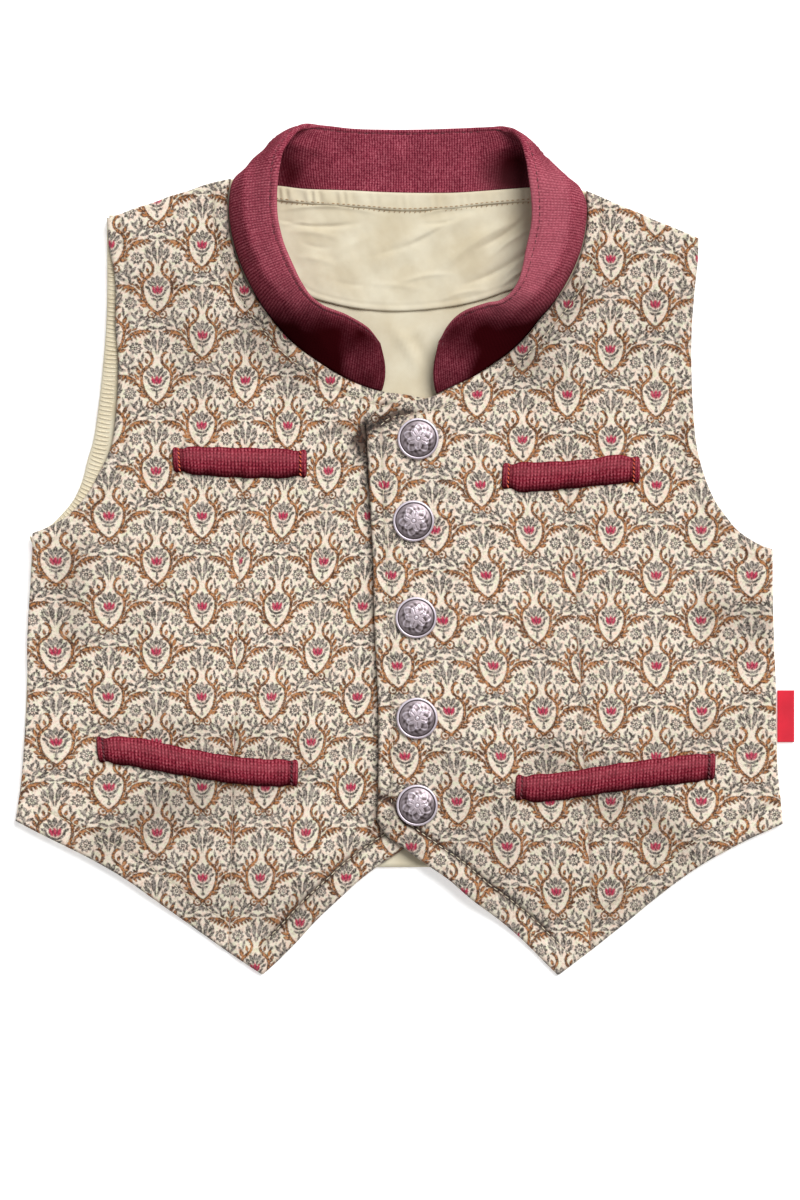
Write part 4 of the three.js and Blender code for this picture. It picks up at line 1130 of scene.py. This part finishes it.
def build_collar(name, material):
    shares = np.concatenate([[-0.05], close_ends(26, (0.012, 0.025))])
    shares = np.array(sorted(set(shares) | {0.89, 0.905, 0.935, 0.945, 0.97, 0.993}))
    fine = np.array([0.05, 0.1, 0.16, 0.22, 0.3])
    stations = np.unique(np.concatenate([np.linspace(0, len(COLLAR) - 1, 560), fine * 0.6,
                                         len(COLLAR) - 1 - fine * 0.6]))
    middle, normal, s, wide = collar_surface(stations, shares)
    # Its foot reaches down to the back's edge where the neck seam turns to the shoulders
    foot = middle[0]
    turn = ease((foot[:, 1] - 133.6) / 2) * np.exp(-(((np.abs(foot[:, 0]) - 53) / 11) ** 4))
    middle[0] += (foot - middle[1]) * (3.2 * turn)[:, None]
    half = collar_half(s, shares, wide)
    share = shares[:, None]
    across = share * wide[None]
    soft = 0.22 * uneven(s[None] + 0 * across, across, 9, 0.3) * ease(across / 5)
    # The band's free part folds back along a soft line on both sides of the neck
    mx, my = middle[..., 0], middle[..., 1]
    beside_neck = ease((np.abs(mx) - 26) / 14) * ease((my - 92) / 14)
    fold = 0.9 * beside_neck * bell(share - 0.56, 0.1)
    soft = soft + fold * np.sign(normal[..., 2])
    middle = middle + normal * soft[..., None]
    skins = [middle - normal * half[..., None], middle + normal * half[..., None]]
    for skin in skins:
        skin[..., 2] = np.maximum(skin[..., 2], 0)
    obj = grid_shell(name, *skins, [material])
    put_uv(obj, "knit", s[None], across)
    # Painted shade, deeper where the band turns down to the fronts and in the inner corners of the
    # neck
    low_part = ease((99 - my) / 20)
    front_end = ease((88 - my) / 20) * ease((29 - np.abs(mx - 1)) / 9)
    depth = low_part * (1.08 - (0.42 + 0.16 * (mx > 0)) * front_end)
    depth = depth * ease((1.14 - share) / 0.34)
    corner = bell(mx - 41, 10) * bell(my - 141, 11)
    corner = np.maximum(corner, 0.78 * bell(mx + 45, 9) * bell(my - 141, 12))
    depth = np.maximum(depth, 0.98 * corner * ease((0.97 - share) / 0.25))
    depth = depth + (0.12 + 0.1 * (mx > 0)) * ease((0.3 - share) / 0.3) * ease((130 - my) / 20)
    # Duller and lighter on the part that folds back, a painted highlight, and painted shade beyond it
    side = ease((np.abs(mx) - 22) / 12) * ease((my - 84) / 12)
    depth = depth + 0.1 * side * ease((0.6 - share) / 0.08)
    depth = depth + 0.12 * ease((my - 132) / 6) * ease((48 - np.abs(mx)) / 8)
    depth = np.clip(depth + 0.1 * uneven(mx, my, 9, 0.6), 0, 1)
    # Painted highlight, stronger on the band's right-hand side, and along its free edge
    bloom = 0.09 * side * ease((share - 0.54) / 0.1) * (1 + (mx > 0))
    bloom = (bloom + 0.06 * side * (mx > 0)) * ease((150 - my) / 16)
    bloom = bloom + 0.2 * ease((share - 0.95) / 0.04) * ease((146 - my) / 16)
    put_grid(obj, "bloom", np.clip(bloom, 0, 0.6))
    put_grid(obj, "depth", depth)
    return obj


def build_welt(name, cut, lapped, sizes, material):
    length = np.linalg.norm(np.subtract(cut["upper"][-1], cut["upper"][0]))
    ribs = int(length / sizes.rib_pitch)
    shares = np.unique(np.concatenate([np.linspace(0, 1, ribs * 6 + 1), [0.002, 0.006, 0.012],
                                       [0.998, 0.994, 0.988]]))
    rows = np.array([0, 0.015, 0.04, 0.08, 0.13, 0.2, 0.28, 0.36, 0.44, 0.5, 0.56, 0.64, 0.72,
                     0.8, 0.87, 0.92, 0.96, 0.985, 1])
    s = shares[None] * length
    near = np.minimum(s, length - s)
    # Drawn in a little where it is tacked down, and rounded at the corners
    waist = 0.07 * bell(near - 3.6, 2.2) + 0.14 * edge_drop(near, 1.4)
    waist = waist + 0.012 * np.sin(s * 0.6) + 0.004 * np.sin(s * 1.7 + 1)
    across = 0.5 + (rows[:, None] - 0.5) * (1 - 2 * waist)
    a, b = along(cut["lower"], shares), along(cut["upper"], shares)
    grid = a[None] + (b - a)[None] * across[..., None]
    x, y = grid[..., 0], grid[..., 1]
    ground = front_under(x, y, lapped) + FRONT_THICK - 0.05
    e = np.abs(2 * rows - 1)[:, None]
    body = 1 - edge_drop(near, 1.8) / 1.8
    crown = (WELT_THICK + WELT_CROWN + GAP) * np.maximum(0, 1 - e ** 5) ** 0.6
    rib = 0.1 * np.abs(np.sin(np.pi * s / sizes.rib_pitch + 0.5 * (rows[:, None] - 0.5)))
    pull = 1 - 0.42 * bell(near - 2.8, 1.3)
    ribbing = (rib + 0.2 * uneven(x, y, 9, 0.8)) * (1 - e ** 2)
    z = ground + (crown * pull + ribbing) * body + 0.02
    obj = grid_shell(name, lifted(x, y, ground), lifted(x, y, z), [material])
    put_uv(obj, "knit", s, rows[:, None] * 10)
    # Painted shade on the welt's lower part and beside its tacked ends, painted highlight along its
    # upper part
    depth = 0.42 * bell(near - 2.8, 0.9) + 0.72 * ease((0.4 - rows[:, None]) / 0.4)
    put_grid(obj, "depth", np.clip(depth + 0.08 + 0.16 * uneven(x, y, 7, 0.1), 0, 0.9))
    put_grid(obj, "bloom", 0.16 * bell(rows[:, None] - 0.7, 0.16) + 0 * depth)
    return obj


def button_relief(r, a):
    """Cast relief on the button's face: the outlines of a five-petalled flower and its leaves."""
    turn = np.abs(np.cos(2.5 * a))
    between = np.abs(np.sin(2.5 * a))
    rim_of_petal = 0.2 + 0.32 * turn ** 0.8
    petal = ease((rim_of_petal - r) / 0.1) * ease((r - 0.1) / 0.05)
    outline = bell(r - rim_of_petal, 0.028)
    vein = bell(1 - turn, 0.02) * petal * (r > 0.2)
    tip_rim = 0.34 + 0.36 * between ** 1.5
    tip = bell(r - tip_rim, 0.03) * ease((between - 0.25) / 0.3)
    heart = ease((0.1 - r) / 0.04)
    scroll = np.cos(5 * a + 16 * r) * ease((0.74 - r) / 0.06) * ease((r - 0.3) / 0.1)
    fine = np.cos(15 * a - 21 * r) * ease((0.8 - r) / 0.06) * ease((r - 0.45) / 0.1)
    return (0.07 * petal + 0.12 * outline - 0.08 * vein + 0.11 * tip + 0.14 * heart
            + 0.045 * scroll + 0.03 * fine)


def build_button(name, place, turn, material):
    x0, y0 = place
    foot = float(front_under(x0, y0, True)) + FRONT_THICK
    sectors = 120
    a = np.linspace(0, 2 * np.pi, sectors, endpoint=False)
    outer = [(0.86, 0), (0.94, 0.03), (0.985, 0.08), (1, 0.16), (1, 0.32), (0.992, 0.4),
             (0.97, 0.455), (0.94, 0.475), (0.905, 0.47), (0.882, 0.43), (0.866, 0.36)]
    inner = [(r, 0.4 + 0.4 * (1 - (r / 0.88) ** 2.4)) for r in np.linspace(0.855, 0.02, 56)]
    rings = np.array(outer + inner)
    n = len(rings)
    r = rings[:, :1] + 0 * a
    face = (np.arange(n) >= len(outer))[:, None]
    relief = button_relief(r, a + turn) * face
    h = rings[:, 1:] * (BUTTON_HEIGHT + GAP) + relief
    radius = r * BUTTON_DIAMETER / 2
    ring_points = lifted(x0 + radius * np.cos(a), y0 + radius * np.sin(a), foot + h)
    points = np.vstack([[x0, y0, foot], ring_points.reshape(-1, 3),
                        [x0, y0, foot + h[-1].mean() + 0.01]])
    index = 1 + np.arange(n * sectors).reshape(n, sectors)
    after = np.roll(index, -1, axis=1)
    last = len(points) - 1
    faces = np.stack([index[:-1], after[:-1], after[1:], index[1:]], -1).reshape(-1, 4).tolist()
    faces += [[0, int(q), int(p)] for p, q in zip(index[0], after[0])]
    faces += [[int(p), int(q), last] for p, q in zip(index[-1], after[-1])]
    obj = new_mesh(name, points, faces, [material])
    rim = (np.arange(n) >= 3)[:, None] * (np.arange(n) <= 8)[:, None] * 0.62
    # Painted light: one side of each button's face lighter than the other
    painted_side_light = 0.1 * r * np.cos(a - 2.2)
    wear = 0.2 + rim + 3.4 * relief + 0.14 * face + painted_side_light - 0.45 * bell(r - 0.862, 0.014)
    put_value(obj, "wear", np.concatenate([[0.2], np.clip(wear, 0, 1).ravel(), [0.6]]))
    return obj


def build_label(name, material):
    (x0, y0), (x1, y1) = LABEL
    us = np.array([0, 0.06, 0.15, 0.3, 0.45, 0.6, 0.75, 0.86, 0.94, 0.98, 1])
    vs = close_ends(40, (0.006, 0.015))
    x, y = np.meshgrid(x0 + (x1 - x0) * us, y0 + (y1 - y0) * vs)
    d = np.minimum(x1 - x, np.minimum(y - y0, y1 - y) * 1.4)
    t = 1 - clamp01(d / 0.5)
    half = np.sqrt(np.maximum(0.01, 1 - t * t)) * LABEL_THICK / 2
    wave = 0.12 * np.sin((y - y0) * 0.42)
    low = lifted(x, y, np.maximum(0, 0.5 - half))
    return grid_shell(name, low, lifted(x, y, 0.5 + wave * (x - x0) / 6 + half), [material])


# Stitches, by Geometry Nodes


def stitch_tree(name, material):
    """Rows of stitches along lines: inputs Pitch, Length, Width, Height and Across."""
    tree = bpy.data.node_groups.new(name, "GeometryNodeTree")
    face = tree.interface
    face.new_socket("Lines", in_out="INPUT", socket_type="NodeSocketGeometry")
    for label in ("Pitch", "Length", "Width", "Height", "Across"):
        face.new_socket(label, in_out="INPUT", socket_type="NodeSocketFloat")
    face.new_socket("Stitches", in_out="OUTPUT", socket_type="NodeSocketGeometry")
    add = tree.nodes.new
    given, out = add("NodeGroupInput"), add("NodeGroupOutput")
    curve, spaced = add("GeometryNodeMeshToCurve"), add("GeometryNodeResampleCurve")
    spaced.mode = "LENGTH"
    bead = add("GeometryNodeMeshUVSphere")
    bead.inputs["Segments"].default_value = 8
    bead.inputs["Rings"].default_value = 5
    bead.inputs["Radius"].default_value = 0.5
    size, shape = add("ShaderNodeCombineXYZ"), add("GeometryNodeTransform")
    tangent, turn = add("GeometryNodeInputTangent"), add("FunctionNodeAlignRotationToVector")
    turn.axis = "X"
    twist, spin = add("FunctionNodeRotateRotation"), add("FunctionNodeAxisAngleToRotation")
    twist.rotation_space = "LOCAL"
    spin.inputs["Axis"].default_value = (0, 0, 1)
    jitter = add("FunctionNodeRandomValue")
    jitter.data_type = "FLOAT"
    jitter.inputs["Min"].default_value = -0.09
    jitter.inputs["Max"].default_value = 0.09
    jitter.inputs["Seed"].default_value = 7
    total = add("ShaderNodeMath")
    total.operation = "ADD"
    place, real = add("GeometryNodeInstanceOnPoints"), add("GeometryNodeRealizeInstances")
    paint, smooth = add("GeometryNodeSetMaterial"), add("GeometryNodeSetShadeSmooth")
    paint.inputs["Material"].default_value = material
    for start, leaves, end, enters in (
            (given, "Lines", curve, "Mesh"), (curve, "Curve", spaced, "Curve"),
            (given, "Pitch", spaced, "Length"), (given, "Length", size, "X"),
            (given, "Width", size, "Y"), (given, "Height", size, "Z"),
            (bead, "Mesh", shape, "Geometry"), (size, "Vector", shape, "Scale"),
            (tangent, "Tangent", turn, "Vector"), (turn, "Rotation", twist, "Rotation"),
            (given, "Across", total, 0), (jitter, 1, total, 1), (total, "Value", spin, "Angle"),
            (spin, "Rotation", twist, "Rotate By"), (spaced, "Curve", place, "Points"),
            (shape, "Geometry", place, "Instance"), (twist, "Rotation", place, "Rotation"),
            (place, "Instances", real, "Geometry"), (real, "Geometry", smooth, "Geometry"),
            (smooth, "Geometry", paint, "Geometry"), (paint, "Geometry", out, "Stitches")):
        tree.links.new(start.outputs[leaves], end.inputs[enters])
    return tree


def sew(name, lines, material, pitch, length, width, height, across=0.0):
    """Lines of points in millimetres become rows of stitches in one plain mesh."""
    points, edges = [], []
    for line in lines:
        first = len(points)
        points += (np.asarray(line) * MM).tolist()
        edges += [(first + i, first + i + 1) for i in range(len(line) - 1)]
    mesh = bpy.data.meshes.new(name + "_lines")
    mesh.from_pydata(points, edges, [])
    carrier = in_scene(name + "_lines", mesh)
    tree = stitch_tree(name + "_rows", material)
    modifier = carrier.modifiers.new("rows", "NODES")
    modifier.node_group = tree
    wanted = {"Pitch": pitch * MM, "Length": length * MM, "Width": width * MM,
              "Height": height * MM, "Across": across}
    for item in tree.interface.items_tree:
        if item.item_type == "SOCKET" and item.name in wanted and item.in_out == "INPUT":
            modifier[item.identifier] = wanted[item.name]
    bpy.context.view_layer.update()
    seen = carrier.evaluated_get(bpy.context.evaluated_depsgraph_get())
    made = bpy.data.meshes.new_from_object(seen)
    made.name = name
    bpy.data.objects.remove(carrier)
    if not len(made.polygons):
        raise RuntimeError(name + " has no stitches")
    return in_scene(name, made)


# Sizes and colours


def tint(name, description, default):
    return bpy.props.FloatVectorProperty(name=name, description=description, subtype="COLOR",
                                         size=3, min=0, max=1,
                                         default=tuple(c / 255 for c in default))


def shown(colour):
    return tuple(c * 255 for c in colour)


class VestSizes(bpy.types.PropertyGroup):
    rib_pitch: bpy.props.FloatProperty(
        name="Welt rib", description="Millimetres from rib to rib of the welts' knit",
        default=1.3, min=0.6, max=3)
    wale_pitch: bpy.props.FloatProperty(
        name="Collar wale", description="Millimetres from wale to wale of the collar's knit",
        default=1.0, min=0.5, max=3)
    stitch_pitch: bpy.props.FloatProperty(
        name="Stitch spacing", description="Distance from stitch to stitch of the edge seams",
        default=0.0026, min=0.001, max=0.006, unit="LENGTH")
    binding_pitch: bpy.props.FloatProperty(
        name="Binding spacing", description="Distance between the threads over the facing's edge",
        default=0.0016, min=0.0008, max=0.004, unit="LENGTH")
    lens: bpy.props.FloatProperty(
        name="Lens", description="Focal length of the camera that looks straight down",
        default=180, min=50, max=300, unit="CAMERA")
    frame_height: bpy.props.FloatProperty(
        name="View height", description="Length of table that the upright picture takes in",
        default=0.45, min=0.3, max=1, unit="LENGTH")


class VestColours(bpy.types.PropertyGroup):
    ground: tint("Cotton", "Cream ground of the print", (249, 237, 222))
    ground_low: tint("Cotton, toned", "Deeper parts of the ground", (243, 228, 210))
    brown: tint("Brown", "Light brown of the printed scrolls", (186, 124, 72))
    brown_low: tint("Brown, deep", "Deep brown of the printed scrolls", (82, 46, 18))
    grey: tint("Grey", "Light grey of the printed leaves", (153, 143, 136))
    grey_low: tint("Grey, deep", "Deep grey of the printed leaves", (68, 60, 54))
    red: tint("Red", "Red of the printed tulips", (190, 42, 80))
    red_low: tint("Red, deep", "Shade in the tulips", (104, 12, 44))
    speck: tint("Speck", "Fine threads of colour in the ground", (170, 146, 128))
    thread: tint("Thread", "Shade between the threads of the cotton", (200, 186, 160))
    # Colour of the painted shade in the fronts' creases, grooves and shadows
    crease: tint("Crease", "Tone of pinched creases and sewn grooves", (74, 50, 38))
    lining: tint("Lining", "Plain lining cotton", (226, 218, 195))
    lining_low: tint("Lining, toned", "Deeper parts of the lining", (210, 198, 170))
    knit: tint("Knit", "Burgundy of the collar and welts", (160, 66, 84))
    knit_low: tint("Knit, deep", "Burgundy between the wales", (98, 26, 44))
    # Colour of the painted shade on the collar and welts
    knit_deep: tint("Knit, deepest", "Burgundy where the band is drawn in", (48, 4, 8))
    knit_high: tint("Knit, light", "Burgundy on the wales", (208, 122, 134))
    welt: tint("Welt", "Burgundy of the ribbed welts", (150, 44, 62))
    welt_low: tint("Welt, deep", "Burgundy between the ribs", (78, 12, 26))
    welt_high: tint("Welt, light", "Burgundy on the ribs", (206, 112, 122))
    metal: tint("Button", "Rubbed metal of the buttons", (178, 164, 170))
    metal_low: tint("Button, dark", "Dark finish left in the relief", (70, 58, 58))
    label: tint("Label", "Woven red tape", (226, 34, 58))
    floor: tint("Table", "Pale surface that the vest lies on", (252, 252, 252))


def looks():
    """The chosen colours by name, as 0 to 255 numbers."""
    colours = bpy.context.scene.vest_colours
    return {key: shown(getattr(colours, key)) for key in VestColours.__annotations__}


def made_material(name, build, *settings):
    """A material is made once and shared by like pieces."""
    return bpy.data.materials.get(name) or build(name, *settings)


def sewing_thread(shade):
    return made_material(shade + "_thread", thread, *THREADS[shade])


def lining_cotton():
    c = looks()
    return made_material("lining_cotton", plain_cotton, c["lining"], c["lining_low"])


def print_cotton():
    return made_material("print_cotton", printed_cotton, looks())


# Operators


class VESTSCENE_OT_stage(bpy.types.Operator):
    """Lay the table, light it softly and set the camera straight above"""
    bl_idname = "vestscene.stage"
    bl_label = "Table, light and camera"

    def execute(self, context):
        sizes = context.scene.vest_sizes
        w = Weaver("pale_table", 0.9)
        material = w.colour(w.ramp(w.noise(3, 2.0), [(0.3, (250, 250, 250)),
                                                     (0.7, looks()["floor"])]))
        # The table glows faintly, painted light that fills in the shadows cast on it
        w.shader.inputs["Emission Color"].default_value = (1, 1, 1, 1)
        w.shader.inputs["Emission Strength"].default_value = 0.42
        corners = [(-1, -1), (1, -1), (1, 1), (-1, 1)]
        floor = new_mesh("table", [(x * TABLE_HALF, y * TABLE_HALF, -0.4) for x, y in corners],
                         [[0, 1, 2, 3]], [material], smooth=False)
        # One broad soft key from the upper right; the room fills the rest
        lamp = bpy.data.lights.new("key", "SUN")
        lamp.energy = 3.3
        lamp.angle = math.radians(36)
        towards_key = Vector((0.52, 0.75, 1.06))
        in_scene("key", lamp).rotation_euler = towards_key.to_track_quat("Z", "Y").to_euler()
        world = bpy.data.worlds.new("soft_room")
        world.use_nodes = True
        world.node_tree.nodes["Background"].inputs[0].default_value = (1, 1, 1, 1)
        world.node_tree.nodes["Background"].inputs[1].default_value = 0.34
        context.scene.world = world
        context.scene.view_settings.view_transform = "Standard"
        lens = bpy.data.cameras.new("overhead")
        lens.lens = sizes.lens
        lens.sensor_width = 36
        lens.clip_end = 20
        camera = in_scene("overhead", lens)
        camera.location = (-1.9 * MM, -19.2 * MM,
                           sizes.frame_height * sizes.lens / 36 + 4 * MM)
        context.scene.camera = camera
        return {"FINISHED"}


class VESTSCENE_OT_back(bpy.types.Operator):
    """Cut the back, print cloth outside and lining inside"""
    bl_idname = "vestscene.back"
    bl_label = "Back"

    def execute(self, context):
        obj = build_back("back_cloth", print_cotton(), lining_cotton())
        finish_piece(obj, ["back_panel"])
        return {"FINISHED"}


class VESTSCENE_OT_inside(bpy.types.Operator):
    """Sew the facing, the half-moon yoke and the neck tape inside the back"""
    bl_idname = "vestscene.inside"
    bl_label = "Facing, yoke and tape"

    def execute(self, context):
        sizes = context.scene.vest_sizes
        lining = lining_cotton()
        facing = build_facing("armhole_facing_cloth", lining)
        finish_piece(facing, ["armhole_facing"])
        yoke = build_yoke("yoke_cloth", lining)
        finish_piece(yoke, ["yoke_lining"])
        tape = build_tape("neck_tape_cloth", lining)
        finish_piece(tape, ["neck_tape"])
        tan = sewing_thread("tan")
        outer = dense(FACING["outer"], 260)[:, :2]
        inner = dense(FACING["inner"], 260)[:, :2]
        middle = outer * 0.658 + inner * 0.342
        lift = BACK_THICK + LINING_THICK + GAP
        rows = np.column_stack([middle, np.full(len(middle), lift)])
        binding = sew("facing_binding", [rows], sewing_thread("cream"),
                      sizes.binding_pitch / MM, length=5.6, width=0.9, height=0.7,
                      across=math.pi / 2)
        finish_piece(binding, [])
        foot = dense(TAPE_FOOT, 200)
        top = TAPE_BASE + LINING_THICK
        row = np.column_stack([foot[:, 0], foot[:, 1] + 0.9, np.full(len(foot), top - 0.02)])
        loops = sew("tape_stitches", [row], tan, 1.9, length=1.35, width=0.42, height=0.4)
        finish_piece(loops, [])
        under = np.column_stack([foot[:, 0], foot[:, 1] - 0.35, np.full(len(foot), top - 0.75)])
        snags = sew("tape_loops", [under], tan, 1.9, length=0.9, width=0.4, height=0.35,
                    across=0.9)
        finish_piece(snags, [])
        return {"FINISHED"}


class VESTSCENE_OT_fronts(bpy.types.Operator):
    """Cut and press the two fronts and topstitch their edges"""
    bl_idname = "vestscene.fronts"
    bl_label = "Fronts"

    def execute(self, context):
        sizes = context.scene.vest_sizes
        cloth = print_cotton()
        for side, cut, lapped in (("right", RIGHT_FRONT, False), ("left", LEFT_FRONT, True)):
            obj = build_front(side + "_front_cloth", cut, PRINT_LAY[side], lapped, cloth)
            finish_piece(obj, ["front_" + side])
            sign = 1 if side == "right" else -1
            lines = []
            for run, n, inset in (("neck", 200, EDGE_SEAM), ("edge", 120, EDGE_SEAM),
                                  ("hemIn", 160, INNER_HEM_SEAM), ("hemOut", 120, OUTER_HEM_SEAM)):
                line = offset_line(dense(cut[run], n), inset * sign)[6:-6]
                x, y = line[:, 0], line[:, 1]
                top = front_under(x, y, lapped) + FRONT_THICK + front_relief(x, y, cut)[0]
                lines.append(np.column_stack([line, top + 0.04]))
            seam = sew(side + "_front_topstitch", lines, sewing_thread("cream"),
                       sizes.stitch_pitch / MM, length=2.0, width=0.36, height=0.22)
            finish_piece(seam, [])
        return {"FINISHED"}


class VESTSCENE_OT_collar(bpy.types.Operator):
    """Shape the stand collar and topstitch its edge"""
    bl_idname = "vestscene.collar"
    bl_label = "Stand collar"

    def execute(self, context):
        sizes = context.scene.vest_sizes
        knit = made_material("collar_knit", knit_cloth, looks(), sizes.wale_pitch)
        obj = build_collar("stand_collar_knit", knit)
        finish_piece(obj, ["stand_collar"])
        stations = np.linspace(0.16, len(COLLAR) - 1.16, 700)
        shares = np.linspace(-0.05, 1, 60)
        middle, normal, _, wide = collar_surface(stations, shares)
        row = np.interp(1 - COLLAR_SEAM / (wide * BAND_CURVE), shares, np.arange(len(shares)))
        low = np.floor(row).astype(int)
        part = (row - low)[:, None]
        k = np.arange(len(stations))
        mid = middle[low, k] * (1 - part) + middle[low + 1, k] * part
        up = normal[low, k] * (1 - part) + normal[low + 1, k] * part
        # Along the free edge, then across both ends, on both faces of the band
        rows = [(mid, up)] + [(middle[30:56, end], normal[30:56, end]) for end in (9, -10)]
        lines = [line + way * out * 0.78 for line, out in rows for way in (1, -1)]
        seam = sew("collar_topstitch", lines, sewing_thread("wine"), sizes.stitch_pitch / MM,
                   length=1.9, width=0.4, height=0.3)
        finish_piece(seam, [])
        return {"FINISHED"}


class VESTSCENE_OT_welts(bpy.types.Operator):
    """Sew on the four ribbed welts with tacked ends"""
    bl_idname = "vestscene.welts"
    bl_label = "Welts"

    def execute(self, context):
        sizes = context.scene.vest_sizes
        knit = made_material("welt_knit", knit_cloth, looks(), sizes.rib_pitch, "welt")
        for name, cut in WELTS.items():
            lapped = "left" in name
            obj = build_welt(name + "_knit", cut, lapped, sizes, knit)
            finish_piece(obj, [name])
            across = np.linspace(0.12, 0.88, 9)[:, None]
            bow = np.sqrt(1 - np.abs(2 * across[:, 0] - 1) ** 5)
            lines = []
            for end, step in ((0, TACK_SEAM), (-1, -TACK_SEAM)):
                a, b = np.array([cut["lower"][end], cut["upper"][end]], float)
                line = a + (b - a) * across + [step, 0]
                z = front_under(line[:, 0], line[:, 1], lapped) + FRONT_THICK
                lines.append(np.column_stack([line, z + 1.78 * bow + 0.12]))
            shade = sewing_thread("orange" if "chest" in name else "wine")
            tack = sew(name + "_tacks", lines, shade, 1.5, length=1.5, width=0.6, height=0.5,
                       across=0.5)
            finish_piece(tack, [])
        return {"FINISHED"}


class VESTSCENE_OT_buttons(bpy.types.Operator):
    """Cast the five domed buttons with a generic flower on each"""
    bl_idname = "vestscene.buttons"
    bl_label = "Buttons"

    def execute(self, context):
        c = looks()
        metal = made_material("antique_metal", cast_metal, c["metal"], c["metal_low"])
        for i, place in enumerate(BUTTONS):
            obj = build_button("cast_button_%d" % (i + 1), place, 0.35 + 0.8 * i, metal)
            finish_piece(obj, ["button_%d" % (i + 1)])
        return {"FINISHED"}


class VESTSCENE_OT_label(bpy.types.Operator):
    """Fold the blank tape into the side seam"""
    bl_idname = "vestscene.label"
    bl_label = "Side label"

    def execute(self, context):
        light = looks()["label"]
        red = made_material("red_tape", plain_cotton, light, tuple(v * 0.9 for v in light), 0.5)
        obj = build_label("side_label_tape", red)
        finish_piece(obj, ["side_label"])
        return {"FINISHED"}


class VESTSCENE_PT_panel(bpy.types.Panel):
    """The vest's pieces, sizes and colours"""
    bl_idname = "VESTSCENE_PT_panel"
    bl_label = "Folk Vest"
    bl_space_type = "VIEW_3D"
    bl_region_type = "UI"
    bl_category = "Folk Vest"

    def draw(self, context):
        layout = self.layout
        for step in STEPS:
            layout.operator(step.bl_idname)
        for title, group, keys in (
                ("Sizes", context.scene.vest_sizes, VestSizes.__annotations__),
                ("Colours", context.scene.vest_colours, VestColours.__annotations__)):
            box = layout.box()
            box.label(text=title)
            for key in keys:
                box.prop(group, key)


STEPS = (VESTSCENE_OT_stage, VESTSCENE_OT_back, VESTSCENE_OT_inside, VESTSCENE_OT_fronts,
         VESTSCENE_OT_collar, VESTSCENE_OT_welts, VESTSCENE_OT_buttons, VESTSCENE_OT_label)
CLASSES = (VestSizes, VestColours) + STEPS + (VESTSCENE_PT_panel,)


def register():
    for cls in CLASSES:
        bpy.utils.register_class(cls)
    bpy.types.Scene.vest_sizes = bpy.props.PointerProperty(type=VestSizes)
    bpy.types.Scene.vest_colours = bpy.props.PointerProperty(type=VestColours)


def unregister():
    del bpy.types.Scene.vest_colours
    del bpy.types.Scene.vest_sizes
    for cls in reversed(CLASSES):
        bpy.utils.unregister_class(cls)


def main():
    register()
    for step in STEPS:
        family, name = step.bl_idname.split(".")
        if getattr(getattr(bpy.ops, family), name)() != {"FINISHED"}:
            raise RuntimeError(step.bl_label + " didn't finish")


if __name__ == "__main__":
    main()
